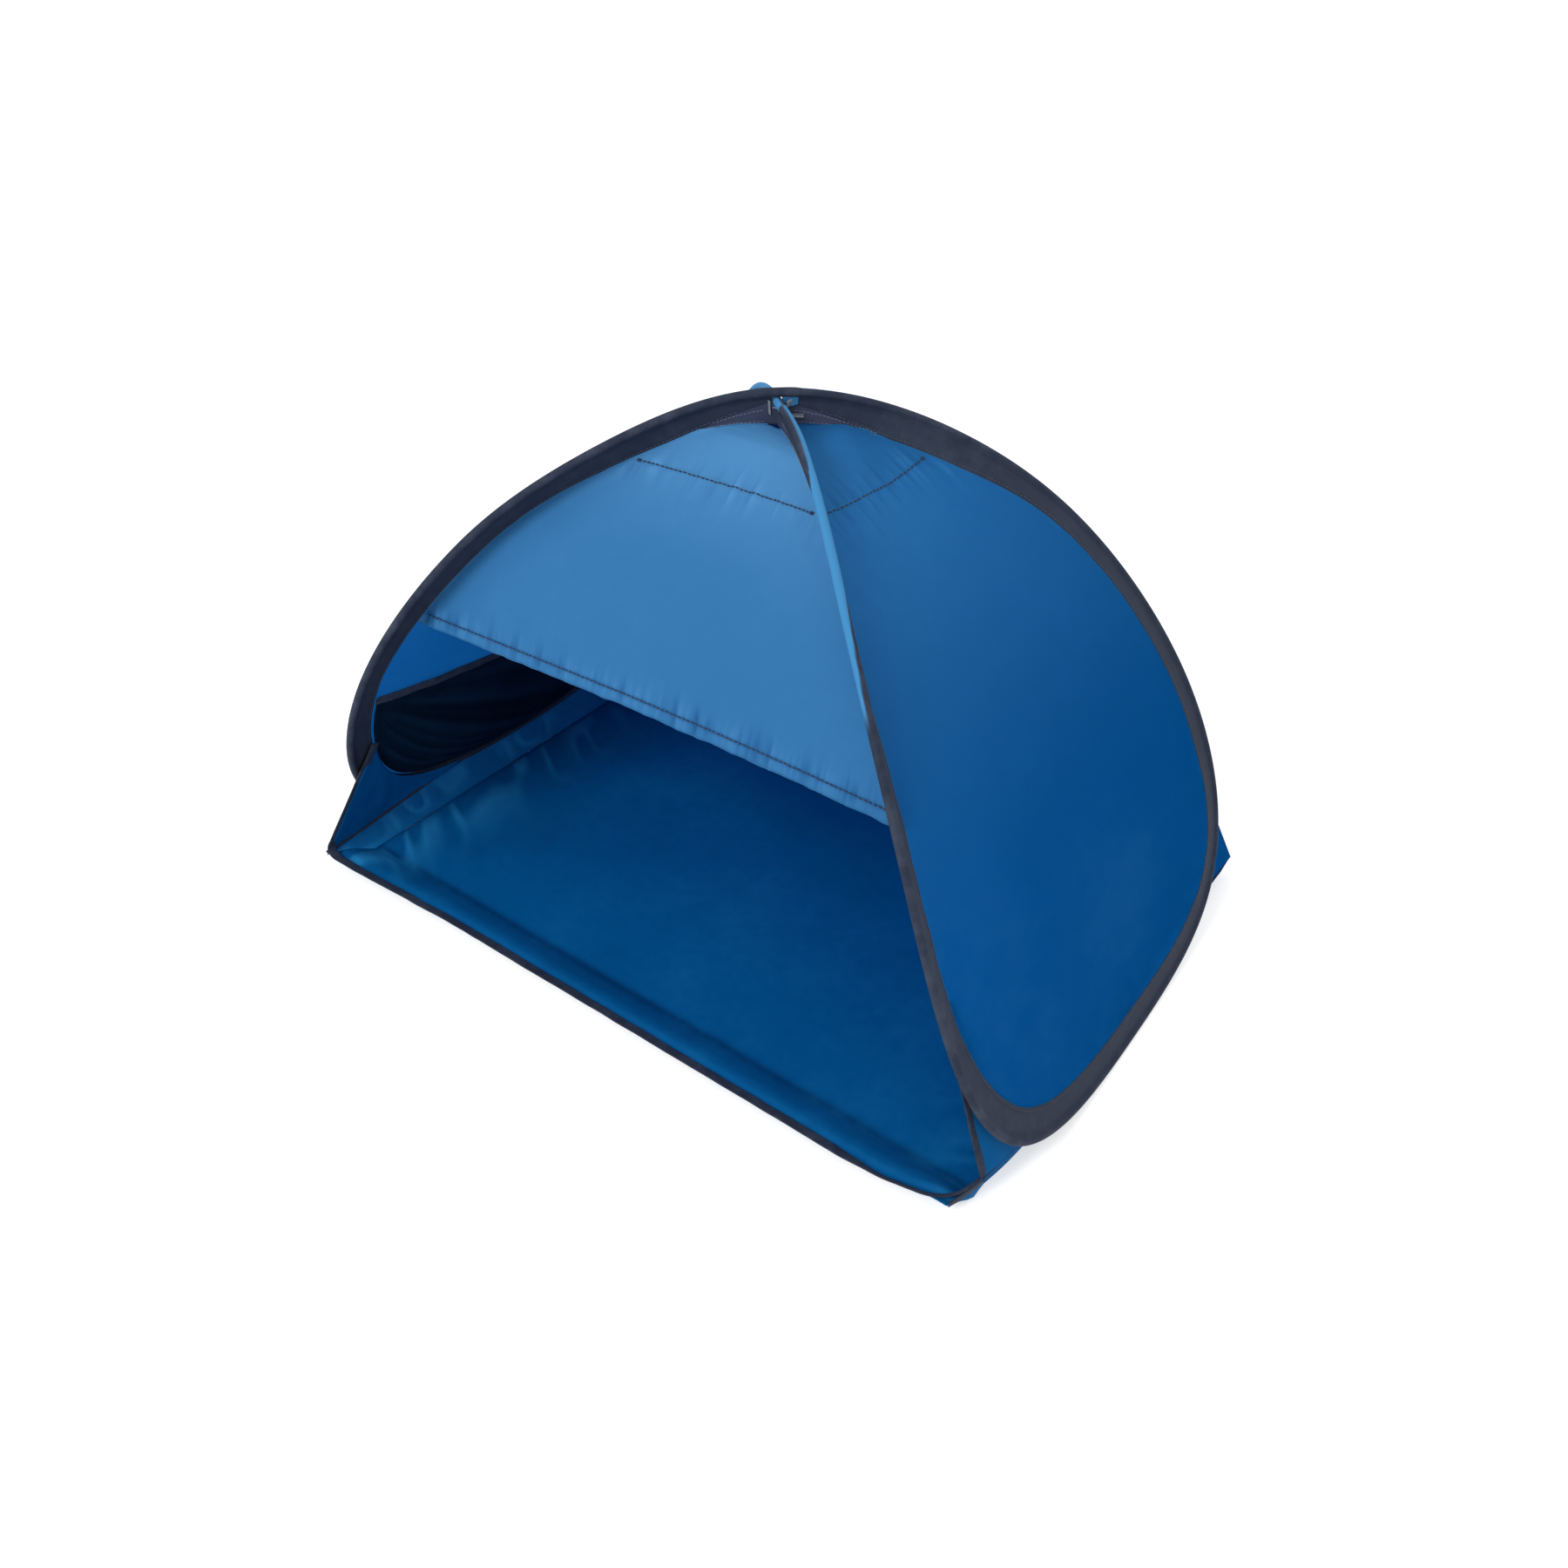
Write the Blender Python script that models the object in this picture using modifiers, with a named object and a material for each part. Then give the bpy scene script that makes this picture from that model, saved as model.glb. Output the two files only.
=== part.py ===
# Pop-up beach tent for the head and shoulders: a sprung wire frame in two leaf-shaped sides that
# cross at the crown, with cloth sides, a front canopy, a back panel, a floor and corner gussets.
# Metres, +Z up. The origin is on the ground, midway between the feet. The front faces -Y.
import math

import bmesh
import bpy
import numpy as np
from mathutils import Matrix

# Overall size of the open tent
OPEN_WIDTH = 0.700
OPEN_HEIGHT = 0.448
RIB_SPREAD = 0.237

# A rib's control points from the crossing to the middle of the foot, as shares of the half width,
# of the spread to the front or back, and of the height
RIB_WIDTH_SHARES = (0.0, 0.13, 0.41, 0.78, 1.0, 1.0, 1.0)
RIB_DEPTH_SHARES = (0.0, 0.16, 0.52, 1.0, 0.87, 0.29, 0.0)
RIB_HEIGHT_SHARES = (1.0, 1.0, 0.89, 0.48, 0.02, 0.0, 0.0)

# Sprung wire, its ferrule and the folded tape round it
WIRE_RADIUS = 0.0015
WIRE_END = 0.0032
FERRULE_BORE = 0.0018
FERRULE_WALL = 0.00035
FERRULE_LENGTH = 0.024
FOLD_BORE = 0.0027
TAPE_PLY = 0.0005
TAPE_WIDTH = 0.0235
TAPE_SLIT = 0.0008
TAPE_NECK = 0.0042
TAPE_START = 0.0064
TAPE_START_WIDTH = 0.0068
TAPE_FULL = 0.0225
FIN_LEAN_SHARE = 0.33
FIN_HUB_HEIGHT = 0.350

# Crossing at the crown, and how far the left back rib settles below its twin beside it
CROSSING_DROP = 0.0068
SETTLE = 0.017
SETTLE_REACH = 0.270
LEFT_FRONT_SETTLE_SHARE = 0.26
PINCH = 0.010
PINCH_START = 0.180
PINCH_END = 0.620
SLOPE_STEP = 0.002
CROWN_WEB_LENGTH = 0.080
CROWN_WEB_DROP = 0.012
CROWN_WEB_TOP = 0.0135
TIE_HALF_WIDTH = 0.0108
TIE_BAND = 0.0056
TIE_PLY = 0.0008

# Cloth
CLOTH = 0.0008
SEAM_GAP = 0.0008
CLEARANCE = 0.0003
SIDE_SAG = 0.010
CANOPY_SAG = 0.008
BACK_SAG = 0.006
SIDE_TOP = 0.030
CLOTH_TOP = 0.0065

# Front canopy and its hem, measured along a rib from the crossing
CANOPY_DROP = 0.349
HEM_WIDTH = 0.011
HEM_BOW = 0.012
HEM_THICKNESS = 0.0022

# Inner facings of the crown
FACING_REACH = 0.120
FACING_TOP = 0.034
FACING_PLY = 0.0006

# Floor, its lip at the front and its turned-up sides
FLOOR_INSET = 0.030
CORNER_INSET = 0.022
FLOOR_DEPTH = 0.480
LIP_RUN = 0.028
LIP_HEIGHT = 0.018
CORNER_CLEAR = 0.012
BINDING_WIDTH = 0.008
BINDING_THICKNESS = 0.0016
BINDING_CORNER = 0.012

# Gussets, measured along a rib from the crossing
GUSSET_TOP = 0.520
GUSSET_END = 0.690
BACK_LEAVE = 0.470
GUSSET_REACH = 0.93
GUSSET_SLANT = 2.4

# Pocket inside the left side
POCKET_FRONT = 0.475
POCKET_BACK = 0.500
POCKET_GAP = 0.0035
POCKET_PLY = 0.0006
POCKET_FOOT = 0.705
POCKET_WIDTH_SHARE = 0.96

# Fineness
RIB_STEPS = 22
CROWN_STEPS = 4
FACING_STEPS = 4
SPLINE_SAMPLES = 1201
SMALL_TURN = math.radians(30)

FLOOR_WIDTH = OPEN_WIDTH - 2 * FLOOR_INSET
CORNER_WIDTH = OPEN_WIDTH - 2 * CORNER_INSET
MIRROR_Y = np.array([1.0, -1.0, 1.0])
HALF_TURN = np.array([-1.0, -1.0, 1.0])
BEAD_RADIUS = FOLD_BORE + TAPE_PLY
WIRE_FOOT = BEAD_RADIUS
WIRE_TOP = OPEN_HEIGHT - BEAD_RADIUS - TIE_PLY - CLEARANCE
WIRE_SIDE = OPEN_WIDTH / 2 - BEAD_RADIUS
PLY_OFFSET = TAPE_SLIT / 2 + TAPE_PLY + CLOTH / 2 + CLEARANCE


def unit(vectors):
    return vectors / np.linalg.norm(vectors, axis=-1, keepdims=True)


def clamped_spline(control, samples):
    """Cubic B-spline that starts and ends on its first and last control points."""
    degree = 3
    spans = len(control) - degree
    knots = np.concatenate([np.zeros(degree), np.linspace(0, 1, spans + 1), np.ones(degree)])
    u = np.linspace(0, 1, samples)
    basis = [((knots[i] <= u) & (u < knots[i + 1])) * 1.0 for i in range(len(knots) - 1)]
    basis[len(control) - 1][-1] = 1.0

    def part(top, bottom):
        return top / bottom if bottom > 0 else 0 * top

    for k in range(1, degree + 1):
        basis = [
            part(u - knots[i], knots[i + k] - knots[i]) * basis[i]
            + part(knots[i + k + 1] - u, knots[i + k + 1] - knots[i + 1]) * basis[i + 1]
            for i in range(len(basis) - 1)
        ]
    return np.stack(basis, 1) @ control


def rib_table():
    """Wire centre, tangent and fin direction of the right front rib, with the length along it."""
    control = np.stack(
        [
            np.array(RIB_WIDTH_SHARES) * WIRE_SIDE,
            np.array(RIB_DEPTH_SHARES) * -RIB_SPREAD,
            WIRE_FOOT + np.array(RIB_HEIGHT_SHARES) * (WIRE_TOP - WIRE_FOOT),
        ],
        1,
    )
    wire = clamped_spline(control, SPLINE_SAMPLES)
    tangent = unit(np.gradient(wire, axis=0))
    hub = np.array([1 - FIN_LEAN_SHARE, 0.0, 0.0]) * wire + np.array([0, 0, FIN_HUB_HEIGHT])
    fin = hub - wire
    fin = unit(fin - (fin * tangent).sum(1, keepdims=True) * tangent)
    length = np.concatenate([[0], np.cumsum(np.linalg.norm(np.diff(wire, axis=0), axis=1))])
    return length, wire, tangent, fin


RIB_LENGTH_TABLE, RIB_WIRE, RIB_TANGENT, RIB_FIN = rib_table()
RIB_LENGTH = RIB_LENGTH_TABLE[-1]


def along(table, s):
    return np.stack([np.interp(s, RIB_LENGTH_TABLE, table[:, k]) for k in range(3)], -1)


def fade(s, reach):
    """1 at the crossing, falling smoothly to 0 at reach."""
    t = np.clip(1 - np.asarray(s) / reach, 0, 1)
    return t * t * (3 - 2 * t)


def swell(s, start, end):
    """0 outside start and end, rising smoothly to 1 between them."""
    return np.sin(math.pi * np.clip((s - start) / (end - start), 0, 1)) ** 2


def shifted(s, low, settle, pinch):
    """How far a right front rib lies from the plain rib curve."""
    drop = low * CROSSING_DROP * fade(s, CROWN_WEB_LENGTH) + settle * SETTLE * swell(s, 0, SETTLE_REACH)
    inward = pinch * PINCH * swell(s, PINCH_START, PINCH_END)
    return np.stack([0 * drop, inward, -drop], -1)


def rib(s, low, back, settle=0, pinch=0):
    """Wire centre, fin direction and outward direction of a right-hand rib at the lengths s.

    low is 1 for the rib that passes under at the crossing, back is 1 for a rear rib, settle is
    the share of the sag beside the crossing, and pinch is 1 where a side's ribs draw together.
    """
    s = np.atleast_1d(s)
    wire = along(RIB_WIRE, s) + shifted(s, low, settle, pinch)
    ahead, behind = (shifted(s + step, low, settle, pinch) for step in (SLOPE_STEP, -SLOPE_STEP))
    tangent = unit(along(RIB_TANGENT, s) + (ahead - behind) / (2 * SLOPE_STEP))
    fin = along(RIB_FIN, s)
    fin = unit(fin - (fin * tangent).sum(1, keepdims=True) * tangent)
    out = unit(np.cross(tangent, fin))
    if back:
        return wire * MIRROR_Y, fin * MIRROR_Y, out * MIRROR_Y
    return wire, fin, out


def seam_depth(s, low):
    """Distance from the wire to the cloth's edge: the tape's width, and more under the crossing."""
    extra = CROWN_WEB_DROP - low * CROSSING_DROP
    return TAPE_WIDTH + SEAM_GAP + extra * np.clip(1 - np.asarray(s) / CROWN_WEB_LENGTH, 0, 1)


def seam(s, offset, low, back, settle=0, pinch=0):
    """Edge of a cloth sewn to a rib, offset outwards from the middle of the tape."""
    s = np.atleast_1d(s)
    wire, fin, out = rib(s, low, back, settle, pinch)
    return wire + fin * seam_depth(s, low)[:, None] + out * offset


# The right front rib and the left back rib pass under, and the other two pass over. The left
# side's ribs are named as they lie before their half turn: its back rib is drawn in front.
RIGHT_FRONT = dict(low=1, back=0, pinch=1)
RIGHT_BACK = dict(low=0, back=1, pinch=1)
LEFT_BACK = dict(low=1, back=0, settle=1)
LEFT_FRONT = dict(low=0, back=1, settle=LEFT_FRONT_SETTLE_SHARE)


def left(points):
    """The left side is the right side turned half round about the upright axis."""
    return points * HALF_TURN


def same(points):
    return points


def mirrored(points):
    return points * MIRROR_Y


SIDES = (("right", (RIGHT_FRONT, RIGHT_BACK), same), ("left", (LEFT_BACK, LEFT_FRONT), left))


def cloth_stations(top, end, steps):
    """Lengths along a rib for a cloth's rows; all the cloths share the rows behind the facings."""
    facing = np.linspace(FACING_TOP, FACING_REACH, FACING_STEPS + 1)
    return np.concatenate([[top], facing, np.linspace(FACING_REACH, end, steps + 1)[1:]])


def offset_rows(rows, distance):
    """Point grid moved along its own normals."""
    down, over = np.gradient(rows, axis=0), np.gradient(rows, axis=1)
    return rows + distance * unit(np.cross(down, over))


def new_collection(name):
    collection = bpy.data.collections.new(name)
    bpy.context.scene.collection.children.link(collection)
    return collection


def finish_material(name, color, roughness, metallic=0.0):
    material = bpy.data.materials.new(name)
    material.use_nodes = True
    shader = material.node_tree.nodes["Principled BSDF"]
    shader.inputs["Base Color"].default_value = (*color, 1.0)
    shader.inputs["Roughness"].default_value = roughness
    shader.inputs["Metallic"].default_value = metallic
    return material


SIDE_BLUE = (0.010, 0.090, 0.270)
CANOPY_BLUE = (0.048, 0.230, 0.510)
FLOOR_BLUE = (0.006, 0.070, 0.230)
CHARCOAL = (0.028, 0.042, 0.080)
STEEL = (0.55, 0.56, 0.58)


def add_object(name, mesh, color, roughness=0.6, metallic=0.0, smooth=True):
    obj = bpy.data.objects.new(name, mesh)
    parts.objects.link(obj)
    mesh.materials.append(finish_material(name + "_finish", color, roughness, metallic))
    if smooth:
        mesh.shade_smooth()
        mesh.set_sharp_from_angle(angle=SMALL_TURN)
    return obj


def grid_mesh(name, rows, loop=False):
    """Surface through a grid of points, rows by columns, with rows that shrink to a point merged."""
    rows = np.asarray(rows, float)
    count, across = rows.shape[:2]
    faces = []
    for i in range(count if loop else count - 1):
        j = (i + 1) % count
        faces += [
            (i * across + k, i * across + k + 1, j * across + k + 1, j * across + k)
            for k in range(across - 1)
        ]
    mesh = bpy.data.meshes.new(name)
    mesh.from_pydata(rows.reshape(-1, 3).tolist(), [], faces)
    work = bmesh.new()
    work.from_mesh(mesh)
    bmesh.ops.remove_doubles(work, verts=work.verts, dist=CLEARANCE / 10)
    bmesh.ops.recalc_face_normals(work, faces=work.faces)
    work.to_mesh(mesh)
    work.free()
    return mesh


def cloth(name, rows, color, thickness=CLOTH, roughness=0.6, loop=False):
    """A sheet of even thickness about the surface through rows."""
    obj = add_object(name, grid_mesh(name, rows, loop), color, roughness)
    shell = obj.modifiers.new("Thickness", "SOLIDIFY")
    shell.thickness = thickness
    shell.offset = 0
    return obj


def band(name, path, across, width, thickness, color):
    """A flat tape of rounded section carried along path; across points over its width."""
    path = np.asarray(path, float)
    across = unit(np.asarray(across, float))
    tangent = unit(np.gradient(path, axis=0))
    across = unit(across - (across * tangent).sum(1, keepdims=True) * tangent)
    thick = np.cross(tangent, across)
    flat_share, edge_share = 0.8, 0.3
    section = (
        (-1.0, -edge_share), (-flat_share, -1.0), (flat_share, -1.0), (1.0, -edge_share),
        (1.0, edge_share), (flat_share, 1.0), (-flat_share, 1.0), (-1.0, edge_share),
    )
    u = np.array([p[0] for p in section])[None, :, None] * width / 2
    v = np.array([p[1] for p in section])[None, :, None] * thickness / 2
    rings = path[:, None] + u * across[:, None] + v * thick[:, None]
    count, sides = rings.shape[:2]
    faces = [
        (i * sides + k, i * sides + (k + 1) % sides, (i + 1) * sides + (k + 1) % sides, (i + 1) * sides + k)
        for i in range(count - 1)
        for k in range(sides)
    ]
    faces += [tuple(range(sides)), tuple((count - 1) * sides + k for k in range(sides))]
    mesh = bpy.data.meshes.new(name)
    mesh.from_pydata(rings.reshape(-1, 3).tolist(), [], faces)
    work = bmesh.new()
    work.from_mesh(mesh)
    bmesh.ops.recalc_face_normals(work, faces=work.faces)
    work.to_mesh(mesh)
    work.free()
    return add_object(name, mesh, color, roughness=0.8)


def crown_stations():
    return np.linspace(TAPE_FULL, CROWN_WEB_LENGTH, CROWN_STEPS + 1)


def side_loop(start, ribs):
    """A side's frame from the crossing down one rib, round the foot and up the other."""
    lower = np.linspace(CROWN_WEB_LENGTH, RIB_LENGTH, RIB_STEPS + 1)
    down = np.concatenate([[start], crown_stations(), lower[1:]])
    front = rib(down, **ribs[0])
    back = rib(down[-2::-1], **ribs[1])
    return [np.vstack([a, b]) for a, b in zip(front, back)], np.concatenate([down, down[-2::-1]])


def make_wire(name, ribs, turn):
    """Round spring wire on the frame's centre line, parted where the two sides hinge."""
    (wire, _, _), _ = side_loop(WIRE_END, ribs)
    wire = turn(wire)
    curve = bpy.data.curves.new(name, "CURVE")
    curve.dimensions = "3D"
    curve.bevel_depth = WIRE_RADIUS
    curve.bevel_resolution = 2
    curve.use_fill_caps = True
    spline = curve.splines.new("POLY")
    spline.points.add(len(wire) - 1)
    for point, place in zip(spline.points, wire):
        point.co = (*place, 1.0)
    obj = bpy.data.objects.new(name, curve)
    parts.objects.link(obj)
    curve.materials.append(finish_material(name + "_finish", STEEL, 0.35, 1.0))
    return obj


def make_tape(name, ribs, turn):
    """Tape folded over the wire: a round fold, and two plies that meet the cloth's seam.

    Near the crossing the plies are cut back at a slant, which leaves room for the sides to fold.
    """
    (wire, fin, out), s = side_loop(TAPE_START, ribs)
    width = np.interp(s, [TAPE_START, TAPE_FULL], [TAPE_START_WIDTH, TAPE_WIDTH])
    ply = (TAPE_SLIT + TAPE_PLY) / 2
    fold = FOLD_BORE + TAPE_PLY / 2
    turns = np.radians([70, 122, 180, 238, 290])
    depth = [width, 0 * width + TAPE_NECK] + [0 * width + fold * math.cos(a) for a in turns]
    depth += [0 * width + TAPE_NECK, width]
    height = [ply, ply] + [fold * math.sin(a) for a in turns] + [-ply, -ply]
    rows = [
        wire + fin * d[:, None] + out * h
        for d, h in zip(depth, height)
    ]
    return cloth(name, turn(np.stack(rows, 1)), CHARCOAL, TAPE_PLY, 0.85)


def make_ferrule(name):
    """Crimped tube over the joint in the wire, beside the middle of the right foot."""
    middle = RIB_LENGTH - (RIB_LENGTH - CROWN_WEB_LENGTH) / RIB_STEPS / 2
    ends = rib(np.array([middle - FERRULE_LENGTH / 2, middle + FERRULE_LENGTH / 2]), **RIGHT_FRONT)[0]
    axis = ends[1] - ends[0]
    sides = 16
    work = bmesh.new()
    turn = unit(axis)
    up = unit(np.cross(turn, [0.0, 1.0, 0.0] if abs(turn[1]) < 0.9 else [1.0, 0.0, 0.0]))
    over = np.cross(turn, up)
    rings = []
    for radius, end in (
        (FERRULE_BORE, 0), (FERRULE_BORE + FERRULE_WALL, 0),
        (FERRULE_BORE + FERRULE_WALL, 1), (FERRULE_BORE, 1),
    ):
        ring = []
        for k in range(sides):
            a = 2 * math.pi * (k + 0.5) / sides
            place = ends[end] + radius * (math.cos(a) * up + math.sin(a) * over)
            ring.append(work.verts.new(place))
        rings.append(ring)
    for i in range(4):
        one, two = rings[i], rings[(i + 1) % 4]
        for k in range(sides):
            work.faces.new((one[k], one[(k + 1) % sides], two[(k + 1) % sides], two[k]))
    bmesh.ops.recalc_face_normals(work, faces=work.faces)
    mesh = bpy.data.meshes.new(name)
    work.to_mesh(mesh)
    work.free()
    return add_object(name, mesh, STEEL, 0.4, 1.0)


def side_surface(s, v, offset, ribs):
    """Point grid of a side panel: straight from rib to rib, drawn in a little between."""
    s = np.asarray(s, float)
    front = seam(s, offset, **ribs[0])
    back = seam(s, offset, **ribs[1])
    v = np.asarray(v, float)[None, :, None]
    rows = front[:, None] * (1 - v) / 2 + back[:, None] * (1 + v) / 2
    span = (s - SIDE_TOP) / (RIB_LENGTH - SIDE_TOP)
    pull = SIDE_SAG * np.sin(math.pi * np.clip(span, 0, 1))[:, None, None] * (1 - v**2)
    inward = unit(np.array([-OPEN_HEIGHT, 0.0, -OPEN_WIDTH / 2]))
    return rows + pull * inward


def make_side_panel(name, ribs, turn):
    s = cloth_stations(SIDE_TOP, RIB_LENGTH, 16)
    rows = side_surface(s, np.linspace(-1, 1, 9), PLY_OFFSET, ribs)
    return cloth(name, turn(rows), SIDE_BLUE)


def cross_rows(s, u, back, offset):
    """Point grid between the two front ribs, or the two back ribs, at the rib lengths s."""
    right = seam(s, offset, **(RIGHT_BACK if back else RIGHT_FRONT))
    other = left(seam(s, offset, **(LEFT_BACK if back else LEFT_FRONT)))
    u = np.asarray(u, float)[None, :, None]
    return other[:, None] * (1 - u) / 2 + right[:, None] * (1 + u) / 2


def pulled_in(rows, s, u, back):
    """Draws the middle of a cross grid in towards the tent, most at the middle of its drop."""
    end = BACK_LEAVE if back else CANOPY_DROP
    amount = BACK_SAG if back else CANOPY_SAG
    share = np.clip((s - CLOTH_TOP) / (end - CLOTH_TOP), 0, 1)
    drop = amount * np.sin(math.pi * share)
    if not back:
        drop = drop + HEM_BOW * share**2
    bulge = (1 - np.asarray(u)[None, :, None] ** 2) * cross_inward(back)
    return rows + drop[:, None, None] * bulge


def cross_inward(back):
    """Direction into the tent from the front canopy or the back panel."""
    return unit(np.array([0.0, -OPEN_HEIGHT if back else OPEN_HEIGHT, -RIB_SPREAD]))


def make_front_canopy():
    u = np.linspace(-1, 1, 13)
    s = cloth_stations(CLOTH_TOP, CANOPY_DROP, 7)
    rows = pulled_in(cross_rows(s, u, 0, -PLY_OFFSET), s, u, 0)
    cloth("front_canopy", rows, CANOPY_BLUE)
    s = np.linspace(CANOPY_DROP + CLEARANCE, CANOPY_DROP + HEM_WIDTH, 3)
    inset = 1 - HEM_THICKNESS / OPEN_WIDTH * 2
    rows = cross_rows(s, u * inset, 0, -PLY_OFFSET - (HEM_THICKNESS - CLOTH) / 2)
    rows = pulled_in(rows, s, u, 0)
    cloth("canopy_hem", rows, CANOPY_BLUE, HEM_THICKNESS)


def corner(back):
    """Where the binding turns at a right-hand floor corner."""
    side = 1 if back else -1
    return np.array([CORNER_WIDTH / 2, side * FLOOR_DEPTH / 2, LIP_HEIGHT])


def make_back_panel():
    """Panel between the back ribs that leaves them to run straight down to the floor's corners."""
    u = np.linspace(-1, 1, 13)
    s = cloth_stations(CLOTH_TOP, BACK_LEAVE, 10)
    upper = pulled_in(cross_rows(s, u, 1, -PLY_OFFSET), s, u, 1)
    s = np.linspace(BACK_LEAVE, GUSSET_TOP, 4)[1:]
    foot = corner(1) - np.array([0, 0, LIP_HEIGHT - CLOTH])
    foot[0] = FLOOR_WIDTH / 2
    steps = np.linspace(0, 1, 7)[1:]
    edges = []
    for which, place in ((LEFT_BACK, mirrored), (RIGHT_BACK, same)):
        edge = place(seam(s, -PLY_OFFSET, **which))
        edges.append(np.vstack([edge, edge[-1] + (corner(1) - edge[-1]) * steps[:, None], [foot]]))
    rows = []
    start = upper[-1, len(u) // 2]
    share = (1 + u[:, None]) / 2
    for on_left, on_right in zip(*edges):
        x, y, z = (on_left * (1 - share) + on_right * share).T
        fall = (start[2] - z) / (start[2] - CLOTH)
        middle_y = start[1] + (FLOOR_DEPTH / 2 - start[1]) * fall
        mix = np.abs(u) ** 3
        rows.append(np.stack([x * u, middle_y * (1 - mix) + y * mix, z], 1))
    cloth("back_panel", np.concatenate([upper, np.array(rows)]), SIDE_BLUE)


def make_facings():
    """Four inner plies that stiffen the crown, each held by an arc of stitching at its lower edge."""
    gap = (CLOTH + FACING_PLY) / 2 + 2 * CLEARANCE
    u = np.linspace(-1, 1, 13)
    s = np.linspace(FACING_TOP, FACING_REACH, FACING_STEPS + 1)
    for name, back in (("front_crown_facing", 0), ("back_crown_facing", 1)):
        rows = pulled_in(cross_rows(s, u, back, -PLY_OFFSET), s, u, back)
        rows = offset_rows(rows, gap if back else -gap)
        cloth(name, rows, SIDE_BLUE if back else CANOPY_BLUE, FACING_PLY)
    u = np.linspace(-1, 1, 9)
    for name, ribs, turn in SIDES:
        rows = offset_rows(side_surface(s, u, PLY_OFFSET, ribs), -gap)
        cloth(name + "_crown_facing", turn(rows), SIDE_BLUE, FACING_PLY)


def web_rows(low, ribs):
    """Upright web under one arch of the crossing, from a right-hand rib across to a left one."""
    s = np.concatenate([[0, TAPE_START], crown_stations()[:-2]])
    tape = np.interp(s, [TAPE_START, TAPE_FULL], [TAPE_START_WIDTH, TAPE_WIDTH])
    top = np.maximum(CROWN_WEB_TOP - low * CROSSING_DROP, tape + 2 * CLEARANCE)
    foot = seam_depth(s, low) - SEAM_GAP - CLOTH
    halves = []
    for which in ribs:
        wire, fin, _ = rib(s, **which)
        halves.append(np.stack([wire + fin * top[:, None], wire + fin * foot[:, None]], 1))
    return np.concatenate([halves[0][::-1], left(halves[1])[1:]])


def make_crown():
    """Dark web that fills the notch under the crossing, and the ribbon loop that ties it."""
    web = cloth("crown_web", web_rows(0, (RIGHT_BACK, LEFT_FRONT)), CHARCOAL)
    other = cloth("crown_web_cross", web_rows(1, (RIGHT_FRONT, LEFT_BACK)), CHARCOAL)
    parts.objects.unlink(other)
    cutters.objects.link(other)
    other.hide_render = True
    other.display_type = "WIRE"
    join = web.modifiers.new("Cross", "BOOLEAN")
    join.operation = "UNION"
    join.object = other
    steps = np.arange(24) * 2 * math.pi / 24
    top = WIRE_TOP + BEAD_RADIUS + CLEARANCE + TIE_PLY / 2
    low = WIRE_TOP - CROSSING_DROP - BEAD_RADIUS - CLEARANCE - TIE_PLY
    rounded = np.sign(np.cos(steps)) * np.abs(np.cos(steps)) ** 0.6
    x = TIE_HALF_WIDTH * rounded
    z = (top + low) / 2 + (top - low) / 2 * np.sign(np.sin(steps)) * np.abs(np.sin(steps)) ** 0.6
    edge = [np.stack([x, 0 * x + side * TIE_BAND / 2, z], 1) for side in (-1, 1)]
    cloth("crossing_tie", np.stack(edge, 1), CANOPY_BLUE, TIE_PLY, loop=True)


def side_seam_line(y):
    """Line on the right where the floor's side meets the foot and the gussets, over the depth y."""
    s = np.linspace(GUSSET_END, RIB_LENGTH, 60)
    foot = seam(s, -PLY_OFFSET - BINDING_THICKNESS, **RIGHT_FRONT)
    end = foot[0]
    point = corner(0)
    reach = -np.asarray(y)
    y_table = np.concatenate([-foot[::-1, 1], [-point[1]]])
    x_table = np.concatenate([foot[::-1, 0], [point[0]]])
    z_table = np.concatenate([foot[::-1, 2], [point[2]]])
    reach = np.abs(reach)
    return np.stack([np.interp(reach, y_table, x_table), y, np.interp(reach, y_table, z_table)], -1), end


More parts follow.
